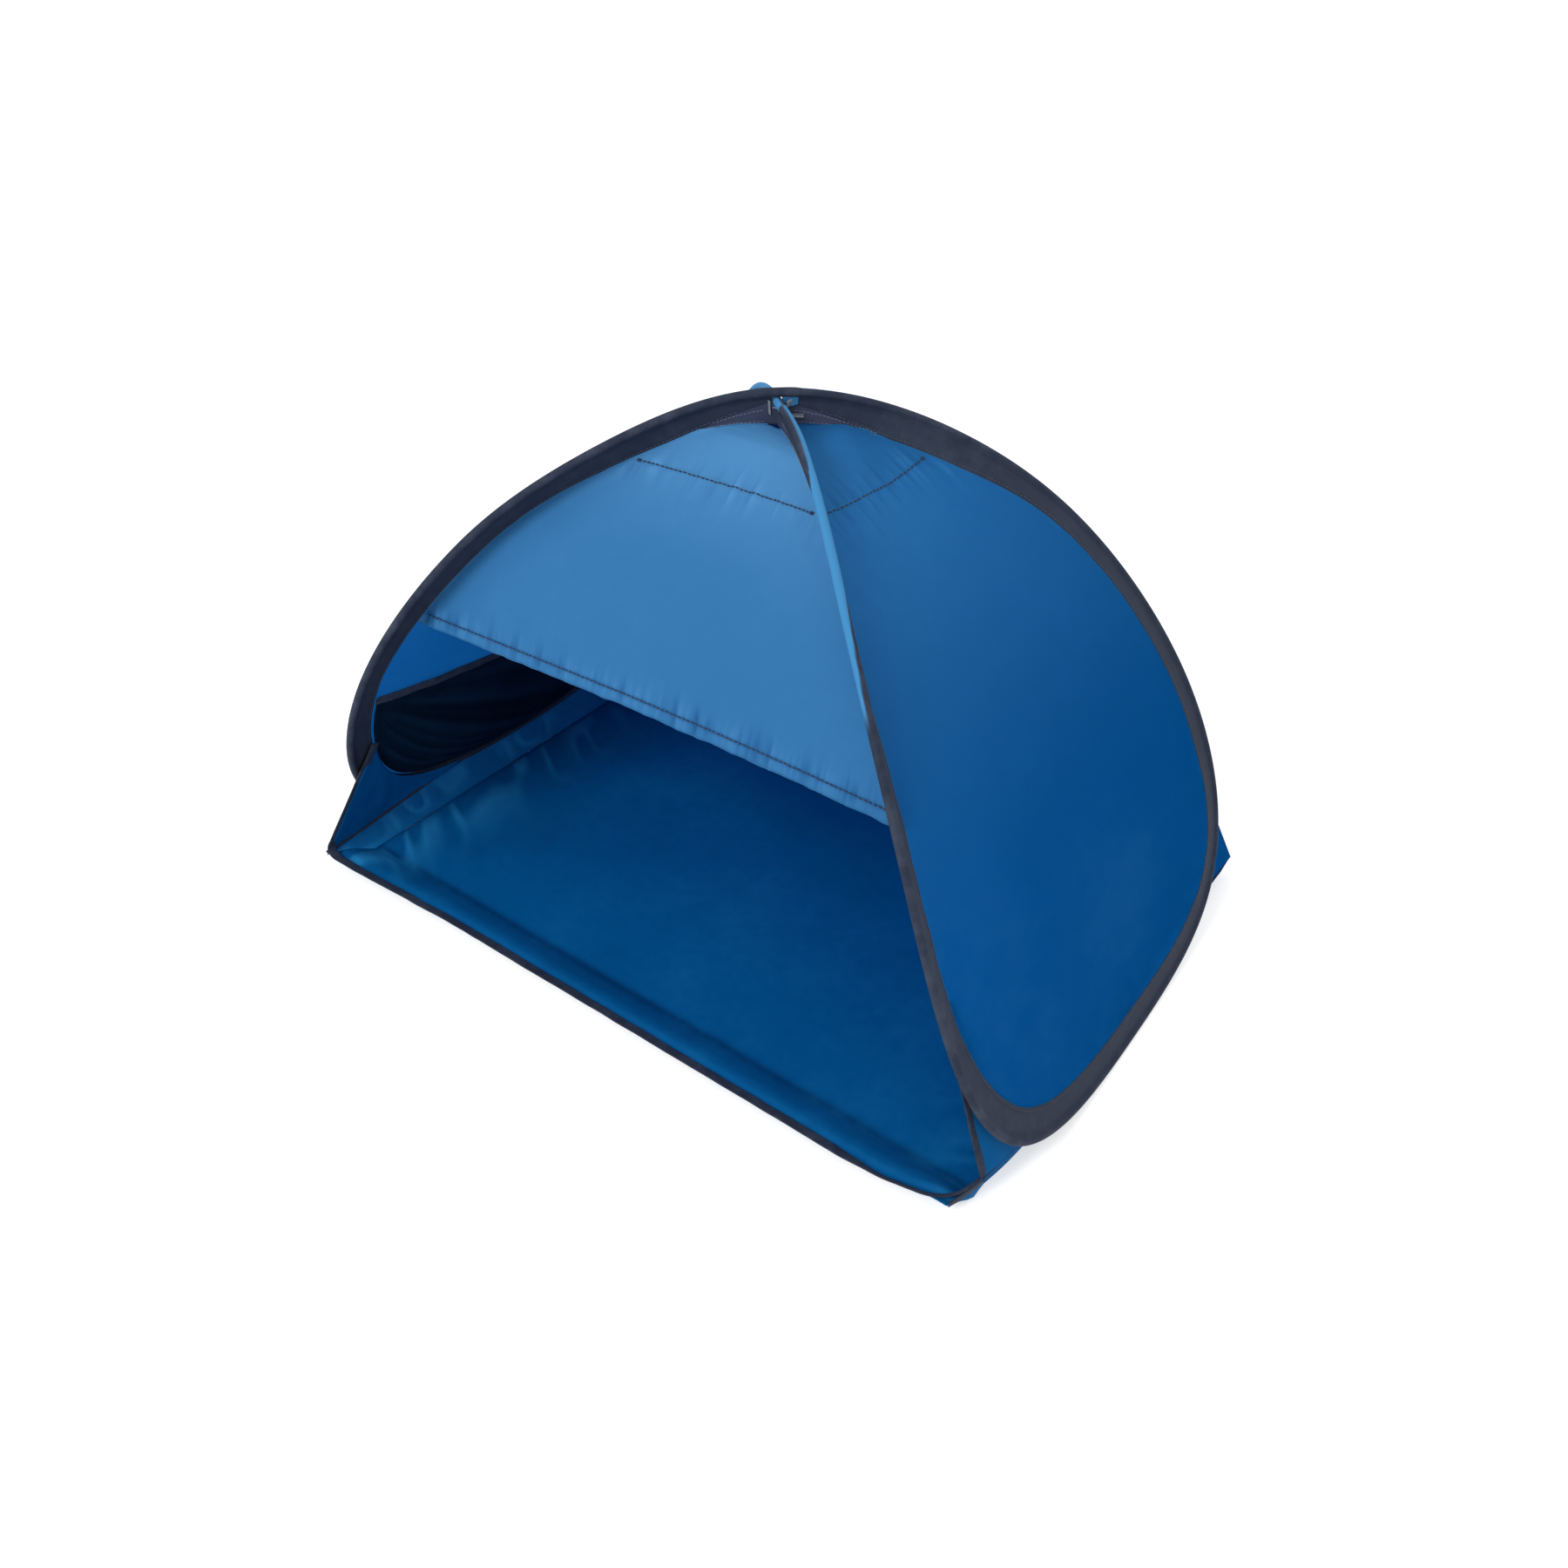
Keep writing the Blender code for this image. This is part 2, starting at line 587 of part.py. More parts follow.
def make_floor():
    """Floor sheet with its front lip, and the two turned-up sides with their bound seams."""
    half = FLOOR_WIDTH / 2
    u = np.linspace(-1, 1, 9)
    lip_foot = -FLOOR_DEPTH / 2 + LIP_RUN
    slope = unit(np.array([0.0, -LIP_RUN, LIP_HEIGHT]))
    lip_top = np.array([0.0, -FLOOR_DEPTH / 2, LIP_HEIGHT]) - slope * (BINDING_WIDTH + SEAM_GAP)
    lift = CLOTH / 2
    lines = [(lip_top[1], lip_top[2] + lift), (lip_foot, lift)]
    lines += [(y, lift) for y in np.linspace(lip_foot, FLOOR_DEPTH / 2 - SEAM_GAP - CLOTH, 7)[1:]]
    rows = [np.stack([u * half, y + 0 * u, z + 0 * u], 1) for y, z in lines]
    cloth("floor_sheet", rows, FLOOR_BLUE)

    ends = (-FLOOR_DEPTH / 2 + CORNER_CLEAR, FLOOR_DEPTH / 2 - CORNER_CLEAR)
    y_top = np.linspace(*ends, 19)
    line, _ = side_seam_line(y_top)
    y_foot = np.interp(y_top, ends, [lip_foot + SEAM_GAP, FLOOR_DEPTH / 2 - CORNER_CLEAR])
    foot = np.stack([half + SEAM_GAP + 0 * y_foot, y_foot, lift + 0 * y_foot], -1)
    slope = unit(line - foot)
    top = line - slope * (BINDING_WIDTH + SEAM_GAP)
    rows = np.stack([foot, (foot + top) / 2, top], 1)
    cloth("right_floor_side", rows, FLOOR_BLUE)
    cloth("left_floor_side", rows * np.array([-1.0, 1.0, 1.0]), FLOOR_BLUE)
    middle = line - slope * BINDING_WIDTH / 2
    mirror = np.array([-1.0, 1.0, 1.0])
    band("right_floor_binding", middle, slope, BINDING_WIDTH, BINDING_THICKNESS, CHARCOAL)
    band("left_floor_binding", middle * mirror, slope * mirror, BINDING_WIDTH, BINDING_THICKNESS, CHARCOAL)


def gusset_edges(share, back, on_left=0):
    """Upper edge on the rib and lower edge on the floor seam, from the corner inwards.

    A left gusset's edges are those of the left rib, mirrored to the right.
    """
    which, place = (RIGHT_BACK if back else RIGHT_FRONT), same
    if on_left:
        which, place = (LEFT_BACK if back else LEFT_FRONT), mirrored
    share = np.atleast_1d(share)
    rib_edge = place(seam(GUSSET_TOP + (GUSSET_END - GUSSET_TOP) * share, -PLY_OFFSET, **which))
    end = place(seam(GUSSET_END, -PLY_OFFSET, **which))[0]
    lower = corner(back) + (end - corner(back)) * share[:, None]
    return rib_edge, lower


def gusset_start():
    reach = np.linalg.norm(gusset_edges(1.0, 0)[1][0] - corner(0))
    return (BINDING_WIDTH + SEAM_GAP) / reach


def make_gussets():
    """Triangles that close each corner between the floor, the rib and the free edge."""
    for name, back, on_left in (
        ("right_front_gusset", 0, 0), ("left_front_gusset", 0, 1),
        ("right_back_gusset", 1, 0), ("left_back_gusset", 1, 1),
    ):
        start = SEAM_GAP / BINDING_WIDTH * gusset_start() if back else gusset_start()
        upper = gusset_edges(np.linspace(start * GUSSET_SLANT, GUSSET_REACH, 8), back, on_left)[0]
        lower = gusset_edges(np.linspace(start, GUSSET_REACH, 8), back, on_left)[1]
        drop = unit(lower - upper)
        upper = upper + drop * SEAM_GAP
        lower = lower - drop * SEAM_GAP
        rows = upper[:, None] + (lower - upper)[:, None] * np.linspace(0, 1, 4)[None, :, None]
        mirror = np.array([1.0 - 2 * on_left, 1.0, 1.0])
        cloth(name, rows * mirror, FLOOR_BLUE if back == 0 else SIDE_BLUE)


def make_front_binding():
    """Binding over the lip's edge, turned at the corners and run up to the ribs."""
    slope = unit(np.array([0.0, -LIP_RUN, LIP_HEIGHT]))
    turn = corner(0) - slope * BINDING_WIDTH / 2
    inward = np.array([-1.0, 0.0, 0.0])
    gusset_in = unit(gusset_edges(1.0, 0)[1][0] - corner(0))
    t = np.linspace(0, 1, 6)[:, None]
    run = turn + inward * np.linspace(BINDING_CORNER, CORNER_WIDTH / 2, 8)[1:, None]
    halves = []
    for on_left in (0, 1):
        upper, lower = (edge[0] for edge in gusset_edges(gusset_start() / 2, 0, on_left))
        upper = upper + unit(lower - upper) * (SEAM_GAP + BINDING_THICKNESS)
        rise = np.linspace(1, 0, 6)[:-2, None] * (upper - turn) + turn
        bend_in = turn + unit(upper - turn) * BINDING_CORNER
        bend_out = turn + inward * BINDING_CORNER
        bend = (1 - t) ** 2 * bend_in + 2 * t * (1 - t) * turn + t**2 * bend_out
        halves.append(np.vstack([rise, bend, run]))
    mix = np.clip(np.arange(len(halves[0])) - len(rise) + 1, 0, 6)[:, None] / 6
    across = unit(gusset_in * (1 - mix) - slope * mix)
    mirror = np.array([-1.0, 1.0, 1.0])
    path = np.vstack([halves[0], (halves[1] * mirror)[-2::-1]])
    over = np.vstack([across, (across * mirror)[-2::-1]])
    band("front_binding", path, over, BINDING_WIDTH, BINDING_THICKNESS, CHARCOAL)


def make_pocket():
    """Dark pocket inside the left side, open along its bound upper edge."""
    v = np.linspace(-POCKET_WIDTH_SHARE, POCKET_WIDTH_SHARE, 9)
    # The left side is a right side turned round, so its front is at v = 1.
    top = np.interp(v, [-1, 1], [POCKET_BACK, POCKET_FRONT])
    count = 8
    ribs = SIDES[1][1]
    rows = np.empty((count, len(v), 3))
    edge = np.empty((3, len(v), 3))
    for k in range(len(v)):
        s = np.linspace(top[k] + BINDING_WIDTH + SEAM_GAP, POCKET_FOOT, count)
        rows[:, k] = side_surface(s, v[k : k + 1], PLY_OFFSET, ribs)[:, 0]
        s = top[k] + np.linspace(0, BINDING_WIDTH, 3)
        edge[:, k] = side_surface(s, v[k : k + 1], PLY_OFFSET, ribs)[:, 0]
    rows = offset_rows(rows, -POCKET_GAP)
    cloth("side_pocket", left(rows), CHARCOAL, POCKET_PLY)
    middle = left(offset_rows(edge, -POCKET_GAP)[1])
    across = left(edge[2] - edge[0])
    band("pocket_binding", middle, across, BINDING_WIDTH, BINDING_THICKNESS, CHARCOAL)


def hang_on_hinges():
    """Parents each moving side to an empty on its hinge's axis; the right foot's strip stays put."""
    foot = bpy.data.objects.new("right_side_hinge", None)
    foot.location = (WIRE_SIDE, 0.0, WIRE_FOOT)
    crossing = bpy.data.objects.new("left_side_hinge", None)
    crossing.location = (0.0, 0.0, WIRE_TOP - CROSSING_DROP / 2)
    bpy.context.scene.collection.objects.link(foot)
    bpy.context.scene.collection.objects.link(crossing)
    crossing.parent = foot
    crossing.matrix_parent_inverse = Matrix.Translation(-foot.location)
    for obj in parts.objects:
        if obj.name in ("right_floor_side", "right_floor_binding"):
            continue
        on_left = obj.name.startswith("left") or "pocket" in obj.name
        hinge = crossing if on_left else foot
        obj.parent = hinge
        obj.matrix_parent_inverse = Matrix.Translation(-hinge.location)


for obj in list(bpy.data.objects):
    bpy.data.objects.remove(obj, do_unlink=True)
parts = new_collection("beach_tent")
cutters = new_collection("cutters")


for side, ribs, turn in SIDES:
    make_wire(side + "_side_wire", ribs, turn)
    make_tape(side + "_side_tape", ribs, turn)
    make_side_panel(side + "_side_panel", ribs, turn)
make_ferrule("wire_ferrule")
make_front_canopy()
make_back_panel()
make_facings()
make_crown()
make_floor()
make_gussets()
make_front_binding()
make_pocket()
hang_on_hinges()
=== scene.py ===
# Pop-up beach tent: cloth, tape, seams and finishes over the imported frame.
# Metres, +Z up. The open front faces -Y.
import math

import bpy
import numpy as np
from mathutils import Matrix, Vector


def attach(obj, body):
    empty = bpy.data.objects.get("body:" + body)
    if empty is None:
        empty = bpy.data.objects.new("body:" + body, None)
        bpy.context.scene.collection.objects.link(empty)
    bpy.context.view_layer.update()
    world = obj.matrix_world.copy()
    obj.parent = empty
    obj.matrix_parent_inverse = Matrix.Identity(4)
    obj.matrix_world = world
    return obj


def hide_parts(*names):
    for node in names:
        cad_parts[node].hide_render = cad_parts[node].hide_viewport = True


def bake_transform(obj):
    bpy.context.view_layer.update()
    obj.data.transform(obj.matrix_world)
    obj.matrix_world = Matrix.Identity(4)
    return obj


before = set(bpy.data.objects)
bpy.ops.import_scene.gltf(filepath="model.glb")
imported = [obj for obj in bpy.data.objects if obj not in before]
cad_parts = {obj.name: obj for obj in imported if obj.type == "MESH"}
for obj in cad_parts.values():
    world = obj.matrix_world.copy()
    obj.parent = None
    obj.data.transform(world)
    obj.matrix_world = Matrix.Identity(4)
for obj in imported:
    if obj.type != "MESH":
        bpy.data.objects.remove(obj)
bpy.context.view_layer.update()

# The frame's shape: a rib's control points are shares of half width, spread and height
tent = {
    "width": 0.700, "height": 0.448, "ribSpread": 0.237,
    "widthShares": (0.0, 0.13, 0.41, 0.78, 1.0, 1.0, 1.0),
    "depthShares": (0.0, 0.16, 0.52, 1.0, 0.87, 0.29, 0.0),
    "heightShares": (1.0, 1.0, 0.89, 0.48, 0.02, 0.0, 0.0),
    "bead": 0.0032, "tieRoom": 0.0011, "tapeWidth": 0.0235,
    "finLean": 0.33, "finHub": 0.350,
    "crossingDrop": 0.0068, "settle": 0.017, "settleReach": 0.270,
    "pinch": 0.010, "pinchStart": 0.180, "pinchEnd": 0.620, "ripple": 0.0003,
    "webLength": 0.080, "taperRun": (0.0045, 0.020, 0.055, 0.090, 0.150),
    "taperWidth": (0.0066, 0.0100, 0.0170, 0.0215, 0.0235),
    "seamDepths": (0.0242, 0.0228, 0.0204, 0.0220, 0.0243),
    "floorWidth": 0.640, "floorDepth": 0.480, "lipRun": 0.034, "lipHeight": 0.010, "frontEdge": 0.238,
    "cornerWidth": 0.656, "canopyEnd": 0.360, "backLeave": 0.470,
    "gussetTop": 0.520,
}
wireSide = tent["width"] / 2 - tent["bead"]
wireTop = tent["height"] - tent["bead"] - tent["tieRoom"]


def unit(vectors):
    return vectors / np.linalg.norm(vectors, axis=-1, keepdims=True)


# The part of a direction that's square to a tangent, as a unit vector
def squareTo(direction, tangent):
    return unit(direction - (direction * tangent).sum(1, keepdims=True) * tangent)


# Distance from the first of a line of points to each of them
def lengthsAlong(path):
    return np.concatenate([[0], np.cumsum(np.linalg.norm(np.diff(path, axis=0), axis=1))])


# Values of a table of points or directions at distances s, where run gives each row's distance
def tableAt(table, s, run):
    return np.stack([np.interp(s, run, table[:, k]) for k in range(3)], -1)


# 0 below 0, 1 above 1, and 3t^2 - 2t^3 between
def eased(t):
    t = np.clip(t, 0, 1)
    return t * t * (3 - 2 * t)


# 1 at a centre, falling off on both sides as e^-(d^2), where d is the distance over the width
def bell(x, centre, width):
    return np.exp(-(((x - centre) / width) ** 2))


# Clamped cubic B-spline: each basis is built up from steps by the usual two-term recurrence
def splineLine(control, count):
    knots = np.concatenate([np.zeros(3), np.linspace(0, 1, len(control) - 2), np.ones(3)])
    u = np.linspace(0, 1, count)
    basis = [((knots[i] <= u) & (u < knots[i + 1])) * 1.0 for i in range(len(knots) - 1)]
    basis[len(control) - 1][-1] = 1.0
    for k in (1, 2, 3):
        rising = [(u - knots[i]) / max(knots[i + k] - knots[i], 1e-9) for i in range(len(basis) - 1)]
        falling = [
            (knots[i + k + 1] - u) / max(knots[i + k + 1] - knots[i + 1], 1e-9)
            for i in range(len(basis) - 1)
        ]
        basis = [rising[i] * basis[i] + falling[i] * basis[i + 1] for i in range(len(basis) - 1)]
    return np.stack(basis, 1) @ control


ribControl = np.stack([
    np.array(tent["widthShares"]) * wireSide,
    np.array(tent["depthShares"]) * -tent["ribSpread"],
    tent["bead"] + np.array(tent["heightShares"]) * (wireTop - tent["bead"]),
], 1)
ribWire = splineLine(ribControl, 2401)
ribTangent = unit(np.gradient(ribWire, axis=0))
ribRun = lengthsAlong(ribWire)
ribLength = ribRun[-1]
hub = np.array([1 - tent["finLean"], 0.0, 0.0]) * ribWire + np.array([0, 0, tent["finHub"]])
ribFin = squareTo(hub - ribWire, ribTangent)

# low: passes under at the crossing; back: mirrored to the rear; settle: sags beside the
# crossing; pinch: drawn towards its twin; turn: half a turn about the upright axis, for the
# left side; twist: degrees the tape leans outwards at lengths along the rib
ribKinds = {
    "rightFront": {"low": 1, "back": 0, "settle": 0, "pinch": 1, "turn": 0, "seed": 201,
                   "twist": ((0.0, 0.05, 0.10, 0.17, 0.25, 0.35, 0.50, 0.62, 0.80),
                             (0, -5, -8, -14, -22, -22, -23, 0, 4))},
    "rightBack": {"low": 0, "back": 1, "settle": 0, "pinch": 1, "turn": 0, "seed": 203,
                  "twist": ((0.0, 0.10, 0.17, 0.22, 0.265, 0.32, 0.40, 0.50, 0.56, 0.80),
                            (0, 8, 20, 26, 23, 18, 11, 5, 8, 4))},
    "leftBack": {"low": 1, "back": 0, "settle": 1, "pinch": 0, "turn": 1, "seed": 205,
                 "twist": ((0.0, 0.80), (0, 0))},
    "leftFront": {"low": 0, "back": 1, "settle": 0.26, "pinch": 0, "turn": 1, "seed": 207,
                  "twist": ((0.0, 0.10, 0.20, 0.30, 0.39, 0.445, 0.55, 0.80),
                            (0, 5, 8, 1, 4, 9, 4, 0))},
}
twistRun = np.linspace(0, ribLength, 801)
for kind in ribKinds.values():
    lean = np.interp(twistRun, *kind["twist"])
    window = np.hanning(61)
    lean = np.concatenate([np.full(30, lean[0]), lean, np.full(30, lean[-1])])
    kind["lean"] = np.radians(np.convolve(lean, window / window.sum(), "valid"))


# 0 outside start and end, sin^2 between them
def swell(s, start, end):
    return np.sin(math.pi * np.clip((s - start) / (end - start), 0, 1)) ** 2


def shifted(s, kind):
    drop = kind["low"] * tent["crossingDrop"] * eased(1 - s / tent["webLength"])
    drop = drop + kind["settle"] * tent["settle"] * swell(s, 0, tent["settleReach"])
    inward = kind["pinch"] * tent["pinch"] * swell(s, tent["pinchStart"], tent["pinchEnd"])
    return np.stack([0 * drop, inward, -drop], -1)


# Wire centre, the direction the tape lies in, and the outward direction, at lengths s from the
# crossing; the tape direction is turned about the wire by the rib's own lean
def ribFrame(name, s):
    kind = ribKinds[name]
    s = np.atleast_1d(np.asarray(s, float))
    wire = tableAt(ribWire, s, ribRun) + shifted(s, kind)
    bend = (shifted(s + 0.002, kind) - shifted(s - 0.002, kind)) / 0.004
    tangent = unit(tableAt(ribTangent, s, ribRun) + bend)
    fin = squareTo(tableAt(ribFin, s, ribRun), tangent)
    out = unit(np.cross(tangent, fin))
    lean = (np.interp(s, twistRun, kind["lean"]) * eased(s / 0.04))[:, None]
    fin, out = fin * np.cos(lean) + out * np.sin(lean), out * np.cos(lean) - fin * np.sin(lean)
    sign = np.array([1.0, -1.0 if kind["back"] else 1.0, 1.0])
    if kind["turn"]:
        sign = sign * np.array([-1.0, -1.0, 1.0])
    return wire * sign, fin * sign, out * sign


# Small waves of a tape's inner edge, shared by the cloth sewn to it; none at the crown and foot
def tapeRipple(name, s):
    seed = ribKinds[name]["seed"]
    waves = lineNoise(s / 0.024, seed) + 0.5 * lineNoise(s / 0.010, seed + 1)
    return tent["ripple"] * waves * eased((s - 0.03) / 0.04) * eased((0.74 - s) / 0.06)


# Width of the tape, and depth of the cloth's seam below the wire: the tape is cut back at a slant
# near the crossing, where the web fills the gap
def tapeWidthAt(s):
    return np.interp(s, tent["taperRun"], tent["taperWidth"])


def seamDepth(name, s):
    depth = np.interp(s, tent["taperRun"], tent["seamDepths"])
    return depth - ribKinds[name]["low"] * tent["crossingDrop"] * np.clip(1 - s / tent["webLength"], 0, 1)


# Where a cloth meets the tape: tuck slides it under the tape, offset moves it outwards
def seamLine(name, s, offset=0.0, tuck=0.0):
    s = np.atleast_1d(np.asarray(s, float))
    wire, fin, out = ribFrame(name, s)
    depth = seamDepth(name, s) - tuck
    share = np.clip(depth / tent["tapeWidth"], 0, 1)
    return wire + fin * depth[:, None] + out * (offset + tapeRipple(name, s) * share**2)[:, None]


# How far a cloth's edge runs on under the tape: almost nothing beside the web at the crown
def tuckAt(s, tuck):
    return 0.0010 + (tuck - 0.0010) * eased((s - 0.056) / 0.018)


# Value noise: random heights on whole-number lattice points, eased between them, from -1 to 1
def latticeNoise(places, seed):
    places = np.asarray(places, float)
    base = np.floor(places).astype(np.int64)
    share = eased(places - base)
    primes = np.array([73856093, 19349663, 83492791])[: places.shape[-1]]
    total = np.zeros(places.shape[:-1])
    for step in np.ndindex(*[2] * places.shape[-1]):
        mixed = ((base + np.array(step)) * primes).sum(-1) + seed * 668265263
        mixed = (mixed ^ (mixed >> 13)) * 1274126177 & 0xFFFFFFFF
        mixed = (mixed ^ (mixed >> 16)) * 2246822519 & 0xFFFFFFFF
        height = ((mixed ^ (mixed >> 15)) & 0xFFFFFFFF) / 2147483647.5 - 1
        total += height * np.prod(np.where(np.array(step), share, 1 - share), -1)
    return total


def lineNoise(t, seed):
    return latticeNoise(np.asarray(t, float)[..., None], seed)


# Puckers beside a line of stitches: ridges across it, pinched at the thread, each dying away at
# its own distance d; t runs along the stitches
def puckers(t, d, seed, pitch=0.008, height=0.0006, reach=0.018):
    ridge = 0.7 * lineNoise(t / pitch, seed) + 0.5 * lineNoise(t / (pitch * 0.53) + 7, seed + 1)
    far = reach * (0.45 + 0.55 * (lineNoise(t / (pitch * 1.4), seed + 2) + 1) / 2)
    return height * ridge * (1 - np.exp(-np.abs(d) / 0.0025)) * np.exp(-((np.abs(d) / far) ** 1.5))


def gridNormal(rows):
    across = np.cross(np.gradient(rows, axis=0), np.gradient(rows, axis=1))
    return across / np.maximum(np.linalg.norm(across, axis=-1, keepdims=True), 1e-12)


# Distance along the rows and down the columns, in metres, for weave and puckers
def gridRuns(rows):
    over = np.linalg.norm(np.diff(rows, axis=1), axis=-1)
    over = np.concatenate([np.zeros((len(rows), 1)), np.cumsum(over, axis=1)], 1)
    over = over - over[:, over.shape[1] // 2][:, None]
    down = np.linalg.norm(np.diff(rows, axis=0), axis=-1)
    down = np.concatenate([np.zeros((1, rows.shape[1])), np.cumsum(down, axis=0)], 0)
    return over, down


def pushed(rows, height):
    return rows + gridNormal(rows) * height[..., None]


def steps(start, end, size):
    count = max(2, int(round(abs(end - start) / (size * 1.0))))
    return np.linspace(start, end, count + 1)


# How far each point of a grid is from the nearer end of its row
def edgeDistance(over):
    return np.minimum(over - over[:, :1], over[:, -1:] - over)


# 1 where a grid's normals look away from the inside of the tent, -1 where they look in
def outwardSign(rows):
    return 1 if (gridNormal(rows) * (rows - [0, 0, 0.15])).sum() > 0 else -1


# Smooth unevenness over a grid, of bumps with a width along its rows and a length down its columns
def gridNoise(over, down, wide, long, seed):
    return latticeNoise(np.stack([over / wide, down / long], -1), seed)


# Where a line at lengths s, one for each column, crosses the picked columns of a grid
def acrossGrid(rows, s, line, picks):
    return np.stack([
        np.stack([np.interp(line[k], s, rows[:, k, axis]) for axis in range(3)]) for k in picks
    ])


# Each four neighbours in a table of point numbers, as one face
def quads(index):
    return np.stack([index[:-1, :-1], index[:-1, 1:], index[1:, 1:], index[1:, :-1]], -1).reshape(-1, 4)


def meshPiece(name, points, faces, material, body, uv=None, masks=None, thickness=0.0):
    mesh = bpy.data.meshes.new(name)
    mesh.from_pydata(points.reshape(-1, 3).tolist(), [], faces)
    if uv is not None:
        layer = mesh.uv_layers.new(name="UVMap")
        layer.data.foreach_set("uv", uv.astype(np.float32).reshape(-1))
    for key, values in (masks or {}).items():
        attribute = mesh.attributes.new(key, "FLOAT", "POINT")
        attribute.data.foreach_set("value", np.asarray(values, np.float32).reshape(-1))
    mesh.shade_smooth()
    mesh.materials.append(material)
    piece = bpy.data.objects.new(name, mesh)
    bpy.context.scene.collection.objects.link(piece)
    if thickness:
        shell = piece.modifiers.new("Thickness", "SOLIDIFY")
        shell.thickness = thickness
        shell.offset = 0
    if body:
        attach(piece, body)
    return piece


# Hides the frame's node that a piece replaces; a piece sewn to both sides, given across (a reach and a
# height), has its transform baked into its mesh
def settle(piece, node=None, across=None):
    if across:
        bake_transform(piece)
    if node:
        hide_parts(node)


# Mesh through a grid of points; the faces look away from the point inside
def gridPiece(name, rows, material, body, inside=(0, 0, 0.15), thickness=0.0005, masks=None):
    faces = quads(np.arange(rows.shape[0] * rows.shape[1]).reshape(rows.shape[:2]))
    ray = (rows[1:, 1:] + rows[:-1, :-1]) / 2 - np.asarray(inside, float)
    normal = np.cross(rows[1:, :-1] - rows[:-1, :-1], rows[:-1, 1:] - rows[:-1, :-1])
    if (normal * ray).sum() > 0:
        faces = faces[:, ::-1]
    uv = np.stack(gridRuns(rows), -1).reshape(-1, 2)[faces.reshape(-1)]
    return meshPiece(name, rows, faces.tolist(), material, body, uv, masks, thickness)


# The size a cloth was cut to: its longest row and column, and the area of its unwrinkled grid
def cutCloth(piece, rows):
    over, down = gridRuns(rows)
    wide, long = (over[:, -1] - over[:, 0]).max(), down[-1].max()
    area = np.linalg.norm(np.cross(rows[1:, :-1] - rows[:-1, :-1], rows[:-1, 1:] - rows[:-1, :-1]), axis=-1)
    area = min(area.sum(), wide * long)
    # a slanted triangle's height over its widest side is less than its longest column
    if area < 0.32 * wide * long:
        long = 2 * area / wide
    print("cut", piece.name, round(wide, 3), round(long, 3), round(area, 4))


# A closed outline carried along a path; flat caps close its ends
def sweptPiece(name, rings, material, body, masks=None, run=None):
    count, sides = rings.shape[:2]
    index = np.arange(count * sides).reshape(count, sides)
    centre = rings.mean(1, keepdims=True)
    normal = np.cross(rings[:-1, 1:] - rings[:-1, :-1], rings[1:, :-1] - rings[:-1, :-1])
    turn = -1 if (normal * (rings - centre)[:-1, :-1]).sum() < 0 else 1
    faces = quads(np.concatenate([index, index[:, :1]], 1))[:, ::turn].tolist()
    faces += [index[0, ::-turn].tolist(), index[-1, ::turn].tolist()]
    around = np.linalg.norm(np.diff(np.concatenate([rings, rings[:, :1]], 1), axis=1), axis=-1)
    around = np.concatenate([np.zeros((count, 1)), np.cumsum(around, axis=1)], 1)
    run = lengthsAlong(centre[:, 0]) if run is None else run
    uv = np.stack([np.repeat(run[:, None], sides + 1, 1), around], -1).reshape(-1, 2)
    corners = quads(np.arange(count * (sides + 1)).reshape(count, sides + 1))[:, ::turn]
    uv = np.concatenate([uv[corners.reshape(-1)], np.zeros((2 * sides, 2))])
    return meshPiece(name, rings, faces, material, body, uv, masks)


# Flat bound tape along a path: two plies folded over an edge, rounded at the fold and the rims
def bandRings(path, across, width, thickness, wave=0.0, seed=0):
    tangent = unit(np.gradient(path, axis=0))
    across = squareTo(across, tangent)
    thick = np.cross(tangent, across)
    angle = np.linspace(0, 2 * math.pi, 17)[:-1]
    flat = np.sign(np.cos(angle)) * np.abs(np.cos(angle)) ** 0.45
    high = np.sign(np.sin(angle)) * np.abs(np.sin(angle)) ** 0.75
    high = high * (0.78 + 0.22 * np.abs(flat) ** 4)
    run = lengthsAlong(path)
    slack = wave * (lineNoise(run / 0.021, seed) + 0.5 * lineNoise(run / 0.009, seed + 1))
    path = path + thick * slack[:, None]
    wide = width * (1 + 0.05 * lineNoise(run / 0.05, seed + 2))
    return (
        path[:, None] + across[:, None] * (flat[None, :, None] * wide[:, None, None] / 2)
        + thick[:, None] * (high[None, :, None] * thickness / 2)
    )


